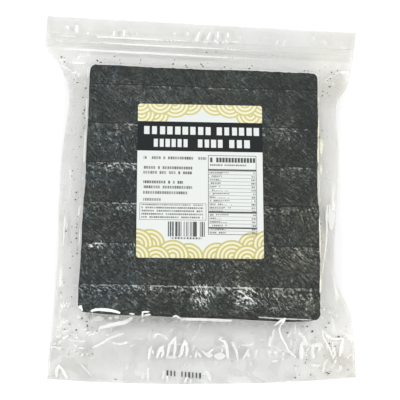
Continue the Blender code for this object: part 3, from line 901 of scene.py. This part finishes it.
nori = dict(
    sheetThickness=0.19 * mm, firstBand=23 * mm, bandPitch=33.3 * mm, bands=6, bendBy=0.016,
    # the top sheet: how far its face lies below the pile's top, its pressed lines, its rim, its relief
    faceDrop=0.12 * mm, bandDepth=0.13 * mm, bandHalf=0.7 * mm, rimDrop=0.45 * mm,
    relief=((0.09, 6, 4, 1.3), (0.05, 2.2, 1.8, 4.4)), steps=(150, 160), rimPower=24,
    rimAcross=((0.8, 3.5, 3.5, 2.2),), rimAlong=((0.7, 3.5, 3.5, 6.6),),
    # the sheets below it: how unevenly each is cut, laid and waved, and how far the pile's front leans
    cutRough=0.55 * mm, cutWander=0.4 * mm, cutShort=0.3 * mm, shift=0.30 * mm, turn=0.10, wave=0.05 * mm,
    neatFrom=85, frontLean=2.2 * mm, footRoom=0.14 * mm, topRoom=0.35 * mm, cornerSteps=4, edgeCuts=25,
    # the nori's dark and light tones, and the colour of its painted glints
    dark=(0.0075, 0.0090, 0.0090), light=(0.39, 0.43, 0.43), glintFleck=(0.93, 0.96, 0.94),
    glints=(  # where glints are painted on the sheet: x, y, reach along x, reach along y in mm, how much
        (0, -87, 9, 12, 0.95), (36, -88, 11, 12, 0.9), (-6, -66, 9, 8, 0.35), (28, -62, 11, 9, 0.3),
        (56, -90, 12, 11, 0.5), (78, -92, 14, 9, 0.45), (-86, -48.5, 9, 3, 0.9), (-78, -57, 4, 4, 0.35),
        (-58, 50, 14, 4, 0.6), (-64, 17, 22, 4, 0.7), (-58, -16, 16, 5, 0.5), (-50, -82, 34, 2.5, 0.45),
        (-82, -84, 10, 3, 0.3), (20, -81, 70, 2.5, 0.5), (60, 48, 22, 10, 0.35), (75, -55, 18, 10, 0.2),
        (-74, 37, 20, 12, 0.35), (80, 15, 14, 6, 0.3), (-20, 85, 60, 4, 0.2), (-90, 5, 6, 60, 0.25),
        (-40, 75, 30, 6, 0.25), (20, -62, 20, 6, 0.3),
    ),
)


def noriMaterial():
    made, wire, shader = newMaterial("nori", Specular_IOR_Level=0.36, Specular_Tint=(0.90, 1.0, 0.95, 1))
    place = ownPlace(wire)
    x, y = place.part(0), place.part(1)
    glint = pointValue(wire, "glint")
    # the fibres' place is bent a little, so that none runs straight
    drift = wire.node("TexNoise", (), {"Vector": place, "Scale": 32, "Detail": 0}, 1)
    bent = wire.node("VectorMath", {"operation": "SUBTRACT"}, {0: drift, 1: (0.5, 0.5, 0.5)})
    bent = wire.node("VectorMath", {"operation": "SCALE"}, {0: bent, "Scale": nori["bendBy"]})
    bent = wire.node("VectorMath", {"operation": "ADD"}, {0: bent, 1: place})
    # broad tone, then the grain of lumps and crossing fibres
    patch = noiseAt(wire, place, 16)
    mottle = noiseAt(wire, place, 95, 3)
    patchy = noiseAt(wire, bent, 170, 2).ramp(0.36, 0.62, 0.5, 1.3)
    lump = noiseAt(wire, place, 560, 3, rough=0.6) - 0.5
    fibre = noiseAt(wire, bent, 560, 2, stretch=(3, 1, 1), turn=-0.78) - 0.5
    cross = noiseAt(wire, bent, 560, 2, stretch=(2.3, 1, 1), turn=0.7) - 0.5
    bandsUp = (y + stack["length"] / 2 - nori["firstBand"]) / nori["bandPitch"]
    fromBand = bandsUp.fraction() * nori["bandPitch"]
    below = nori["bandPitch"] - fromBand  # distance under the next pressed line up
    groove = (below < 0.3 * mm) + (fromBand < 0.6 * mm)
    bright = 1 - below.ramp(0.2 * mm, 16 * mm)
    lower = (0 - y).ramp(-0.09, 0.09)  # from the sheet's top edge to its bottom edge
    leftward = 1 - x.ramp(-0.07, 0.03)
    tone = 0.278 + (patch - 0.5) * 0.42 + (mottle - 0.5) * 0.42
    # lighter under each pressed line and down the sheet, with painted glints, and lighter to the left as a
    # painted sheen
    tone = tone + bright * (0.035 + 0.04 * lower) + glint * 0.09 + leftward * (0.035 + 0.026 * lower)
    strength = (0.47 + lower * (0.20 + 0.75 * bright) + 0.25 * glint) * patchy
    tone = tone + (lump * 1.6 + fibre * 1.7 + cross * 0.6) * strength
    # painted glints: light flecks as specks all over, blobs where it glints, ticks along the pressed lines
    specks = noiseAt(wire, bent, 740, 3, stretch=(1.5, 1, 1), turn=-0.9, rough=0.6)
    shine = glint * (0.12 + 0.06 * (below < 1.5 * mm)) + bright * 0.02 + (lower - 1) * 0.03
    glintFleck = (specks + fibre * 0.25 + shine).ramp(0.65, 0.76) * (0.30 + 0.60 * glint)
    blobs = noiseAt(wire, bent, 440, 2, stretch=(1.8, 1, 1), turn=-0.78)
    glintFleck = glintFleck.atLeast((blobs + glint * 0.12).ramp(0.69, 0.78) * glint)
    ticks = noiseAt(wire, place, 480, 1, stretch=(1.6, 1, 1)) + glint * 0.16 + leftward * lower * 0.06
    ticks = ticks.ramp(0.60, 0.70) * below.between(0.25 * mm, 1.5 * mm)  # just under the pressed lines
    glintFleck = glintFleck.atLeast(ticks * (0.16 + 0.5 * glint))
    base = (tone.atLeast(0.02) ** 2.6).paint(nori["dark"], nori["light"])
    # cooler to the left, part of the painted sheen there, and warmer to the lower right
    rightTint = lower.ramp(0.0, 0.8).paint((0.97, 1.0, 0.93), (1.04, 1.0, 0.87))
    base = base.tinted(leftward.paint(rightTint, (1.06, 1.135, 1.16)))
    hue = noiseAt(wire, place, 42).ramp(0.35, 0.65)
    base = base.tinted(hue.paint((1.08, 1.0, 0.93), (0.94, 1.0, 1.06)))
    base = (groove.atMost(1) * 0.8).paint(base, (0.006, 0.007, 0.007))
    # painted glints over the sheet's own colour
    feed(shader, Base_Color=glintFleck.paint(base, nori["glintFleck"]))
    feed(shader, Roughness=0.60 - glintFleck * 0.25)
    relief = fibre * 0.8 + lump * 0.8 + glintFleck * 0.5 - groove * 0.3
    feed(shader, Normal=bumpOf(relief, 0.6, 0.5 * mm))
    return made


def bandGroove(y):  # 1 along the pressed lines across a sheet
    first = nori["firstBand"] - stack["length"] / 2
    lines = [first + nori["bandPitch"] * k for k in range(nori["bands"])]
    away = np.min([np.abs(y - line) for line in lines], axis=0)
    return np.exp(-(away / nori["bandHalf"]) ** 2)


def buildTopSheet(noriPaint):
    deselectAll()
    stepsAcross, stepsAlong = nori["steps"]
    bpy.ops.mesh.primitive_grid_add(x_subdivisions=stepsAcross, y_subdivisions=stepsAlong, size=2)
    sheet = named("nori_top_sheet")
    points = getPoints(sheet)
    u, v = (points[:, k] * (1.25 - 0.25 * points[:, k] ** 2) for k in (0, 1))  # finer towards the edges
    halfWidth, halfLength, corner = stack["width"] / 2, stack["length"] / 2, stack["corner"]
    x, y = u * halfWidth, v * halfLength
    across = np.maximum(np.abs(x) - halfWidth + corner, 0)  # square corners drawn in to round ones
    along = np.maximum(np.abs(y) - halfLength + corner, 0)
    pull = np.maximum(across, along) / np.maximum(np.hypot(across, along), 1e-9)
    inCorner = (across > 0) & (along > 0)
    x = np.where(inCorner, np.sign(x) * (halfWidth - corner + across * pull), x)
    y = np.where(inCorner, np.sign(y) * (halfLength - corner + along * pull), y)
    edge = np.maximum(np.abs(u), np.abs(v)) ** nori["rimPower"]
    shiftX, shiftY = edgeShift(x, y)
    x = x + shiftX + edge * ripples(x, y, nori["rimAcross"])
    y = y + shiftY + edge * ripples(x, y, nori["rimAlong"])
    relief = ripples(x, y, nori["relief"]) - nori["bandDepth"] * bandGroove(y) - nori["rimDrop"] * edge
    points[:, 0], points[:, 1] = x, y
    points[:, 2] = stack["height"] - nori["faceDrop"] + relief
    setPoints(sheet, points)
    setValues(sheet, "glint", strongest(x, y, nori["glints"]))
    thicken(sheet, nori["sheetThickness"])
    bpy.ops.object.shade_smooth()
    sheet.data.materials.append(noriPaint)
    return sheet


def buildStack(noriPaint):
    # one sheet with rounded corners is made and copied down the pile, each copy cut a little unevenly
    first = roundedPlate("nori_sheet", stack["width"], stack["length"], stack["corner"],
                         nori["cornerSteps"])
    bpy.ops.mesh.select_all(action="SELECT")
    bpy.ops.mesh.delete(type="ONLY_FACE")
    bpy.ops.object.mode_set(mode="OBJECT")
    for edge in first.data.edges:
        a, b = (first.data.vertices[i].co for i in edge.vertices)
        edge.select = (a - b).length > 4 * stack["corner"]
    bpy.ops.object.mode_set(mode="EDIT")
    bpy.ops.mesh.subdivide(number_cuts=nori["edgeCuts"])
    bpy.ops.mesh.select_all(action="SELECT")
    bpy.ops.mesh.edge_face_add()
    bpy.ops.mesh.extrude_region_move(TRANSFORM_OT_translate={"value": (0, 0, nori["sheetThickness"])})
    outwards()
    outline = getPoints(first)
    shiftX, shiftY = edgeShift(outline[:, 0], outline[:, 1])
    count = stack["sheets"] - 1
    pitch = (stack["height"] - nori["topRoom"]) / count
    draw = np.random.default_rng(5)
    sheets = []
    for k in range(count):
        sheet = copyOf(first)
        points = outline.copy()
        angle = math.radians(draw.normal(0, nori["turn"]))
        dx, dy = draw.normal(0, nori["shift"], 2) * (0.5 if k > nori["neatFrom"] else 1)
        rough = noiseField(points[:, 0], points[:, 1], 5, 5, 10.3 + k * 0.37)
        wide = noiseField(points[:, 0], points[:, 1], 40, 40, 3.7 + k * 0.05)
        outwardBy = rough * nori["cutRough"] + wide * nori["cutWander"] - nori["cutShort"]
        grow = 1 + outwardBy / (stack["width"] / 2)
        lean = np.where(points[:, 1] < 0, nori["frontLean"] * (1 - k / count), 0)
        x = points[:, 0] * grow + shiftX
        y = points[:, 1] * grow + shiftY + lean
        points[:, 0] = x * math.cos(angle) - y * math.sin(angle) + dx
        points[:, 1] = x * math.sin(angle) + y * math.cos(angle) + dy
        points[:, 2] += nori["footRoom"] + k * pitch + nori["wave"] * wide
        setPoints(sheet, points)
        sheets.append(sheet)
    bpy.data.objects.remove(first)
    pile = joinAll(sheets, "nori_stack")
    pile.data.materials.append(noriPaint)
    return pile


noriPaint = noriMaterial()
noriTop = buildTopSheet(noriPaint)
noriPile = buildStack(noriPaint)
print("nori stacked")


def headerRows():  # shares of the header's height, crowded over the zip
    height = headerTop(0) - headerLow(0)
    middle = (zipCentre[1] - headerLow(zipCentre[0])) / height
    reach = (zipWidth / 2 + 1 * mm) / height
    crowded = list(np.linspace(max(middle - reach, 0.02), middle + reach, zipStrip["rows"]))
    return [0] + crowded + list(np.linspace(middle + reach, 1, zipStrip["rowsAbove"]))[1:]


def buildFront():
    film, points = filmGrid("film_front", *bag["frontSteps"], headerRows())
    points[:, 2], inside, paintedHighlight = frontHeight(points[:, 0], points[:, 1])
    setPoints(film, points)
    setValues(film, "crease", inside)
    # the creases' painted highlight, for the material to read
    setValues(film, "paintedHighlight", paintedHighlight)
    # the front film's haze also carries the painted glare in front of the pile
    setValues(film, "haze", filmHaze(points[:, 0], points[:, 1]) + frontGlare(points[:, 0], points[:, 1]))
    thicken(film, bag["filmThickness"])
    bpy.ops.object.shade_smooth()
    film.data.materials.append(filmMaterial("film_clear_front"))
    return film


def buildBack():
    film, points = filmGrid("film_back", *bag["backSteps"], even(bag["backHeaderSteps"]))
    points[:, 2] = backHeight(points[:, 0], points[:, 1])
    setPoints(film, points)
    setValues(film, "haze", filmHaze(points[:, 0], points[:, 1]))
    thicken(film, bag["filmThickness"], offset=1)
    bpy.ops.object.shade_smooth()
    film.data.materials.append(filmMaterial("film_clear_back"))
    return film


filmFront = buildFront()
filmBack = buildBack()
print("film laid over the pile")


def selectStrip(piece, place, width):  # the tape's faces between the two edges of a rib
    for face in piece.data.polygons:
        face.select = abs(face.center.y - place) < width / 2


def buildZip():
    # a thin tape is cut along its ribs, and the ribs are drawn up out of it and narrowed
    strip = addPlate("zip_profile", zipLength * zipStrip["shorter"], zipWidth)
    for k in range(1, zipStrip["cuts"]):
        cut(0, zipLength * (k / zipStrip["cuts"] - 0.5))
    for place, width, height in zipStrip["ribs"]:
        for side in (-0.5, 0.5):
            cut(1, place + side * width)
    bpy.ops.mesh.select_mode(type="FACE")
    for place, width, height in zipStrip["ribs"]:
        bpy.ops.mesh.select_all(action="DESELECT")
        bpy.ops.object.mode_set(mode="OBJECT")
        selectStrip(strip, place, width)
        bpy.ops.object.mode_set(mode="EDIT")
        for rise in zipStrip["rises"]:
            bpy.ops.mesh.extrude_region_move(TRANSFORM_OT_translate={"value": (0, 0, rise * height)})
        bpy.ops.transform.resize(value=(1, zipStrip["ribTop"], 1), center_override=(0, place, 0))
    bpy.ops.object.mode_set(mode="OBJECT")
    thicken(strip, zipStrip["wall"])
    tilt = math.atan(headerZ(1) - headerZ(0))
    rest = headerZ(zipCentre[1]) + bag["filmThickness"] + zipStrip["tapeThickness"]
    strip.rotation_mode = "ZYX"  # turned flat first, then tilted to the header
    strip.rotation_euler = (tilt, 0, zipTurn)
    strip.location = (zipCentre[0], zipCentre[1], rest)
    bpy.ops.object.transform_apply(location=True, rotation=True, scale=True)
    bpy.ops.object.shade_smooth_by_angle(angle=math.radians(50))
    made, wire, shader = newMaterial("zip_plastic", Roughness=0.15)
    cloud = noiseAt(wire, ownPlace(wire), 60, 2, stretch=(6, 1, 1))
    feed(shader, Base_Color=cloud.paint(zipStrip["dim"], zipStrip["pale"]))
    cover = glancing(wire) * zipStrip["mirror"] + cloud.ramp(0.3, 0.7, *zipStrip["milk"])
    seeThrough(made, wire, shader, cover, zipStrip["clear"])
    strip.data.materials.append(made)
    return strip


zipProfile = buildZip()
print("zip made")


label = dict(
    thickness=0.12 * mm, corner=2.2 * mm, turn=math.radians(0.7), waves=24, cornerSteps=5,
    ride=0.10 * mm, ripples=((0.06, 26, 18, 2.9),),
)
labelLow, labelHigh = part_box("label")
labelCentre = (labelLow + labelHigh) / 2
labelWidth, labelLength = plateSides("label", label["turn"], label["corner"])

printing = dict(  # mm from the label's centre, right and up
    ink=(0.0138, 0.0176, 0.0182), paper=(0.775, 0.805, 0.785), paperPale=(0.80, 0.83, 0.81),
    waveLine=(0.53, 0.495, 0.160), waveFill=(0.84, 0.80, 0.585), ringPitch=3.25, ringLine=0.44,
    # the fans above the band are real print, painted paler as painted light on the label's top
    litTopLine=(0.585, 0.555, 0.205), litTopFill=(0.87, 0.835, 0.63),
    lowFans=(  # centre and radius, the foremost first
        (-52.0, -64.0, 12.0), (-35.4, -66.2, 12.0), (-22.0, -62.8, 13.2), (-9.4, -64.0, 12.0),
        (54.5, -64.0, 11.8), (37.8, -65.0, 11.8), (25.6, -63.0, 13.8), (13.6, -63.6, 12.2),
        (-50.6, -53.6, 13.0), (-40.6, -53.6, 12.6), (53.8, -52.6, 11.8), (41.8, -54.0, 11.6),
    ),
    topFans=(
        (-33.1, 66.4, 11.2), (-20.6, 64.6, 12.0), (-49.4, 65.8, 11.2), (-9.0, 66.3, 11.2),
        (37.0, 66.6, 11.2), (24.6, 65.0, 12.0), (51.6, 65.5, 12.0), (12.4, 66.6, 11.5),
        (-48.2, 56.0, 11.5), (-37.5, 56.0, 12.0), (41.4, 56.5, 12.0), (52.5, 56.0, 12.0),
    ),
    bandTop=49.4, bandFoot=24.3, titleHalf=3.4,
    titleWords=(  # height on the label, start, end, and how many blocks
        (41.8, -46.6, 10.0, 9), (41.8, 13.0, 49.6, 6), (31.1, -38.6, -9.4, 6), (31.1, -2.6, 19.4, 4),
        (31.1, 23.0, 41.8, 3),
    ),
    # rows of small dashes: height on the label, and where the row ends
    textRows=((18.4, 5.0), (10.1, -6.5), (6.0, -6.5), (-2.0, -14.0), (-6.2, -6.5), (-10.8, -10.5),
              (-16.6, -31.5)),
    textStart=-46.2, textHalf=1.15,
    # boxes as left, right, foot and top
    smallBox=(-48.9, 4.9, -33.4, -19.4), fineBox=(-47.5, 2.3, -32.5, -20.3), fineFoot=-32.4, fineRow=2.6,
    codeBars=(-26.0, 3.6, -46.8, -34.6), codeFoot=(-24.0, 1.5, -48.9, -47.4), codeBar=0.62,
    table=(6.4, 46.0, -45.0, 21.2), thickRules=(8.9, -26.4, -39.4), rulePitch=2.93,
    tableTitle=17.3, tableNote=13.0, titleBlock=2.5, valueColumn=4.4, shine=0.25, rough=(0.42, 0.52),
)


def ringFans(wire, spot, discs):
    # overlapping discs of rings: where their lines are, and where there is a disc
    inset, cover = None, None
    for u, v, radius in reversed(discs):
        away = wire.node("VectorMath", {"operation": "DISTANCE"}, {0: spot, 1: (u, v, 0)}, 1)
        inside = radius - away
        here = inside > 0
        inset = inside if inset is None else inset + (inside - inset) * here
        cover = here if cover is None else cover.atLeast(here)
    return ((inset / printing["ringPitch"]).fraction() < printing["ringLine"]) * cover, cover


def printMaterial():
    made, wire, shader = newMaterial("label_print", Specular_IOR_Level=printing["shine"])
    place = ownPlace(wire)
    mapping = {"Vector": place, "Location": (labelCentre[0], labelCentre[1], 0), "Scale": (mm, mm, mm),
               "Rotation": (0, 0, label["turn"])}
    spot = wire.node("Mapping", {"vector_type": "TEXTURE"}, mapping)
    u, v = spot.part(0), spot.part(1)

    def chance(line):  # one value from 0 to 1 for each whole step of line
        return wire.node("TexWhiteNoise", {"noise_dimensions": "1D"}, {"W": line.floor()})

    def bar(centre, half):
        return (v - centre).size() < half

    def within(box, inset=0.0):
        x0, x1, y0, y1 = box
        return u.between(x0 + inset, x1 - inset) * v.between(y0 + inset, y1 - inset)

    def frameOf(box, line):
        return within(box) * (1 - within(box, line))

    def dashes(row, pitch=1.9, gap=0.21, spaceEvery=0.09):
        line = u / pitch + row * 37.3
        return (line.fraction() > gap) * (chance(line) > spaceEvery) * (0.55 + 0.45 * chance(line + 900.5))

    def together(masks):
        total = masks[0]
        for mask in masks[1:]:
            total = total.atLeast(mask)
        return total

    flat = spot.tinted((1, 1, 0))
    lowLines, lowCover = ringFans(wire, flat, printing["lowFans"])
    topLines, topCover = ringFans(wire, flat, printing["topFans"])
    aboveBand = v > printing["bandTop"]
    waves = lowCover.atLeast(topCover * aboveBand)
    lines = lowLines.atLeast(topLines * aboveBand)

    dark = v.between(printing["bandFoot"], printing["bandTop"])
    words = []
    for centre, start, end, count in printing["titleWords"]:
        line = (u - start) / ((end - start) / count)
        cell = line.fraction()
        uneven = chance(line + centre) * 0.10
        block = (cell > 0.08 + uneven) * (cell < 0.86 - uneven)
        words.append(u.between(start, end) * bar(centre, printing["titleHalf"]) * block)
    fineRow = (v - printing["fineFoot"]) / printing["fineRow"]
    finePrint = within(printing["fineBox"]) * fineRow.fraction().between(0.22, 0.76)
    tx0, tx1, ty0, ty1 = printing["table"]
    rule = (v - ty0) / printing["rulePitch"]
    belowTitle = within((tx0, tx1, ty0, printing["thickRules"][0]))
    entries = rule.fraction().between(0.34, 0.8) * belowTitle * u.between(tx0 + 1.2, tx1 - 0.9)
    entries = entries * dashes(rule.floor() + 41, 1.5, 0.25, 0.1)
    rowEnd = chance(rule + 7.5) * 15 + (tx0 + 5)
    titleCell = u / printing["titleBlock"]
    titleBlocks = (titleCell.fraction() > 0.24) * (chance(titleCell) > 0.08)
    inks = [u.between(printing["textStart"], end) * bar(centre, printing["textHalf"]) * dashes(row)
            for row, (centre, end) in enumerate(printing["textRows"])]
    inks += [bar(centre, 0.65) * u.between(tx0, tx1) for centre in printing["thickRules"]]
    inks += [
        frameOf(printing["smallBox"], 0.4) * 0.8,
        finePrint * dashes(fineRow.floor() + 11, 1.7, 0.22, 0.08),
        within(printing["codeBars"]) * (chance(u / printing["codeBar"] + 0.4) > 0.41),
        within(printing["codeFoot"]) * dashes(23, 2.4, 0.35, 0.1),
        frameOf(printing["table"], 0.45),
        u.between(tx0 + 1.2, tx1 - 1.0) * bar(printing["tableTitle"], 2.0) * titleBlocks,
        u.between(tx0 + 1.6, tx1 - 8) * bar(printing["tableNote"], 0.7) * dashes(33, 1.5),
        rule.fraction().between(0.0, 0.14) * belowTitle * 0.65,
        entries * ((u < rowEnd) + (u > tx1 - printing["valueColumn"])).atMost(1),
    ]
    cloud = noiseAt(wire, place, 40, 3)
    paper = cloud.paint(printing["paper"], printing["paperPale"])
    # the print above the band is painted paler, as painted light
    colour = waves.paint(paper, aboveBand.paint(printing["waveFill"], printing["litTopFill"]))
    colour = (lines * 0.9).paint(colour, aboveBand.paint(printing["waveLine"], printing["litTopLine"]))
    colour = (together(inks) * 0.9).paint(colour, printing["ink"])
    colour = dark.paint(colour, printing["ink"])
    colour = (together(words) * dark).paint(colour, printing["paper"])
    feed(shader, Base_Color=colour, Roughness=cloud.ramp(0.3, 0.7, *printing["rough"]))
    feed(shader, Normal=bumpOf(noiseAt(wire, place, 1500), 0.08, 0.2 * mm))
    return made


def buildLabel():
    paper = roundedPlate("paper_label", labelWidth, labelLength, label["corner"], label["cornerSteps"])
    for k in range(1, label["waves"]):  # cut up, so that the paper can wave
        share = k / label["waves"] - 0.5
        cut(0, share * labelWidth)
        cut(1, share * labelLength)
    bpy.ops.object.mode_set(mode="OBJECT")
    paper.rotation_euler = (0, 0, label["turn"])
    paper.location = (labelCentre[0], labelCentre[1], 0)
    bpy.ops.object.transform_apply(location=True, rotation=True, scale=True)
    points = getPoints(paper)
    ripple = ripples(points[:, 0], points[:, 1], label["ripples"])
    points[:, 2] = stack["height"] + bag["filmOverStack"] + label["ride"] + label["thickness"] + ripple
    setPoints(paper, points)
    thicken(paper, label["thickness"])
    bpy.ops.object.shade_smooth_by_angle(angle=math.radians(40))
    paper.data.materials.append(printMaterial())
    return paper


paperLabel = buildLabel()
print("label printed")


crumbs = dict(
    thickness=0.12 * mm, offPile=1.5 * mm, offRim=2.0 * mm, ride=0.05 * mm, corners=7,
    dark=(0.02, 0.023, 0.02), pale=(0.09, 0.095, 0.085),
    # count, smallest and largest mm, and the box (x0, x1, y0, y1) in mm that they lie in
    drifts=(
        (40, 0.5, 1.3, (-113, -98, -95, 95)), (22, 0.5, 1.3, (-122, 100, 108, 118)),
        (22, 0.6, 1.5, (-114, -84, -136, -105)), (30, 0.6, 1.6, (72, 122, -148, -104)),
        (12, 0.5, 1.3, (99, 120, 88, 116)), (16, 0.4, 1.1, (99, 110, -60, 80)),
        (34, 0.6, 1.6, (99.2, 101.0, -96, 86)), (14, 0.4, 1.1, (-84, 60, -150, -108)),
    ),
    flakes=(  # x, y, length and width in mm, and turn in degrees
        (-119.5, 116.5, 2.2, 1.8, -30), (-117, 112, 1.8, 1.0, 20), (-89.5, 115.5, 2.4, 1.4, -50),
        (-86.5, 114, 3.2, 1.0, 0), (-75, 119, 1.4, 1.0, 0), (-70.5, 116.5, 1.0, 1.0, 0),
        (-69.5, 114, 1.4, 1.0, 30), (-25, 114.5, 1.8, 1.6, 0), (-24, 118, 1.2, 0.8, 0),
        (-14, 114, 1.8, 1.2, -60), (-13, 112.5, 1.8, 1.2, 0), (-1, 114.5, 2.0, 1.2, -50),
        (0.5, 113, 1.6, 1.2, -40), (3.5, 125.5, 2.6, 0.9, 0), (11.5, 126, 2.0, 0.9, 0),
        (19, 113.5, 1.6, 1.4, 20), (40.5, 113, 2.6, 1.0, 10), (60, 125, 1.3, 0.9, 0),
        (88, 112.5, 1.4, 0.9, 0), (91, 112.5, 1.2, 0.8, 0), (111, 110.5, 1.6, 1.2, 0),
        (113, 109, 1.8, 1.2, 30), (116, 112.5, 1.6, 1.2, 0), (110, 105.5, 1.8, 1.2, 60),
        (109.5, 98.5, 2.2, 1.4, 0), (103.5, 91, 2.0, 1.4, 40), (104, 95, 1.4, 1.0, 0),
        (107.5, 93, 1.4, 1.0, 0), (100.5, 64, 1.2, 0.8, 90), (103, 60, 1.2, 0.8, 0),
        (-108, 97, 1.4, 1.0, 0), (-105.5, 95, 2.8, 1.0, 10), (-98.5, 91.5, 2.0, 1.6, 0),
        (-100.5, 83, 1.4, 1.0, 0), (-99, 72, 2.0, 1.2, 80), (-100, 69, 1.8, 1.0, 0),
        (-98.5, 65, 1.6, 1.0, 90), (-99, 56, 1.4, 1.0, 0), (-101, 48, 2.0, 1.0, 60),
        (-102, 39.5, 1.2, 0.8, 0), (-106.5, 18, 1.4, 1.0, 0), (-107.5, 13.5, 1.2, 0.8, 0),
        (-103, 0, 1.8, 1.2, 50), (-103.5, -6, 2.0, 1.2, 40), (-99.5, -10, 1.6, 1.0, 0),
        (-101, -20, 1.4, 1.0, 90), (-101.5, -26.5, 1.4, 1.0, 0), (-105.5, -29, 1.2, 0.8, 0),
        (-110, -33, 2.0, 1.2, 80), (-101.5, -34, 1.6, 1.2, 0), (-101.5, -38.5, 1.8, 1.4, 30),
        (-105.5, -42, 1.4, 1.0, 0), (-104, -53.5, 1.2, 0.9, 0), (-100.5, -51, 1.4, 1.0, 0),
        (-105.5, -63.5, 1.8, 1.2, 40), (-112, -84, 1.2, 1.0, 0), (-104, -109, 1.4, 1.0, 0),
        (-98.5, -113.5, 2.0, 1.6, 30), (-90, -110, 2.6, 1.4, 85), (-90.5, -106.5, 1.6, 1.2, 0),
        (-94.5, -104, 2.2, 1.6, 40), (-82, -114, 1.4, 1.0, 0), (-79.5, -105.5, 1.4, 1.0, 0),
        (-99, -117.5, 1.4, 1.0, 0), (-66, -152.2, 3.2, 0.9, 0), (18.5, -152.6, 2.9, 1.6, -30),
        (72, -112.5, 1.6, 1.2, 0), (88.5, -107, 1.8, 1.5, 0), (92.5, -111, 2.2, 1.8, 40),
        (103.5, -107.5, 1.6, 1.2, 0), (106, -104, 1.6, 1.2, -50), (114, -115, 3.2, 1.6, 0),
        (106, -120.5, 1.6, 1.2, 0), (110.5, -123, 1.8, 1.2, 0), (87.5, -134, 1.4, 1.0, 0),
        (86.5, -136.5, 1.8, 1.2, 20), (90.5, -146, 1.6, 1.2, 0), (78, -148.5, 1.6, 1.8, 0),
        (84, -149.5, 1.4, 1.0, 0), (104.5, -144.5, 4.8, 1.2, -20),
    ),
)


def buildCrumbs():
    # one flake is made, and copied with its corners moved
    deselectAll()
    bpy.ops.mesh.primitive_circle_add(vertices=crumbs["corners"], radius=0.5, fill_type="NGON")
    first = named("crumb")
    bpy.ops.object.mode_set(mode="EDIT")
    bpy.ops.mesh.select_all(action="SELECT")
    bpy.ops.mesh.extrude_region_move(TRANSFORM_OT_translate={"value": (0, 0, 1)})
    outwards()
    shape = getPoints(first)
    corners = np.round(np.arctan2(shape[:, 1], shape[:, 0]), 2)
    draw = random.Random(23)
    places = list(crumbs["flakes"])
    for count, small, large, (x0, x1, y0, y1) in crumbs["drifts"]:
        for _ in range(count):
            size = mix(small, large, draw.random() ** 2)
            places.append((draw.uniform(x0, x1), draw.uniform(y0, y1), size, size * draw.uniform(0.4, 0.9),
                           draw.uniform(0, 180)))
    flakes = []
    for x, y, long, wide, turn in places:
        centre = np.array([x * mm]), np.array([y * mm])
        if offStack(*centre)[0] < crumbs["offPile"] or rimDistance(*centre)[0] < crumbs["offRim"]:
            continue
        jitter = {corner: draw.uniform(0.65, 1.1) for corner in corners}
        reach = np.array([jitter[corner] for corner in corners])
        a, b = shape[:, 0] * long * mm * reach, shape[:, 1] * wide * mm * reach
        c, s = math.cos(math.radians(turn)), math.sin(math.radians(turn))
        px, py = x * mm + a * c - b * s, y * mm + a * s + b * c
        base = backHeight(px, py) + bag["filmThickness"] + crumbs["ride"]
        flake = copyOf(first)
        setPoints(flake, np.stack([px, py, base + shape[:, 2] * crumbs["thickness"]], axis=1))
        flakes.append(flake)
    bpy.data.objects.remove(first)
    scatter = joinAll(flakes, "nori_crumbs")
    made, wire, shader = newMaterial("nori_crumb", Roughness=0.6)
    tone = noiseAt(wire, ownPlace(wire), 500)
    feed(shader, Base_Color=tone.ramp(0.3, 0.7).paint(crumbs["dark"], crumbs["pale"]))
    scatter.data.materials.append(made)
    return scatter


marks = dict(
    start=(-24.8 * mm, -146.6 * mm), pitch=2.9 * mm, slope=-0.066, shown=(1, 1, 1, 0, 1, 1, 1, 1, 1, 1),
    height=4.2 * mm, widths=(1.5 * mm, 1.05 * mm, 1.05 * mm), thickness=0.03 * mm, ride=0.06 * mm,
    cuts=5, dark=(0.015, 0.015, 0.015), pale=(0.10, 0.10, 0.10),
)


def buildMarks():  # a row of plain printed dashes near the bottom edge
    dashes = []
    x, y = marks["start"]
    for k, shown in enumerate(marks["shown"]):
        if not shown:
            continue
        along = marks["pitch"] * k
        centre = (x + along, y + marks["slope"] * along, 0)
        dash = addPlate("dash", marks["widths"][k % 3], marks["height"], centre)
        bpy.ops.mesh.subdivide(number_cuts=marks["cuts"])
        bpy.ops.object.mode_set(mode="OBJECT")
        points = getPoints(dash)
        points[:, 2] = frontHeight(points[:, 0], points[:, 1])[0] + marks["ride"]
        setPoints(dash, points)
        thicken(dash, marks["thickness"])
        dashes.append(dash)
    row = joinAll(dashes, "printed_dashes")
    made, wire, shader = newMaterial("dash_ink", Roughness=0.5)
    tone = noiseAt(wire, ownPlace(wire), 900)
    feed(shader, Base_Color=tone.ramp(0.3, 0.7).paint(marks["dark"], marks["pale"]))
    row.data.materials.append(made)
    return row


noriCrumbs = buildCrumbs()
printedDashes = buildMarks()
print("crumbs and marks placed")


slots = (
    (filmFront, "clear_film"), (filmBack, "clear_film"), (noriTop, "nori"), (noriPile, "nori"),
    (noriCrumbs, "nori"), (printedDashes, "label_paper"), (zipProfile, "zip_plastic"),
    (paperLabel, "label_paper"),
)
for piece, slot in slots:
    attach(piece, "root")
for piece in (filmFront, filmBack, noriTop, noriPile):
    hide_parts("bag")
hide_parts("zip_strip")
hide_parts("label")
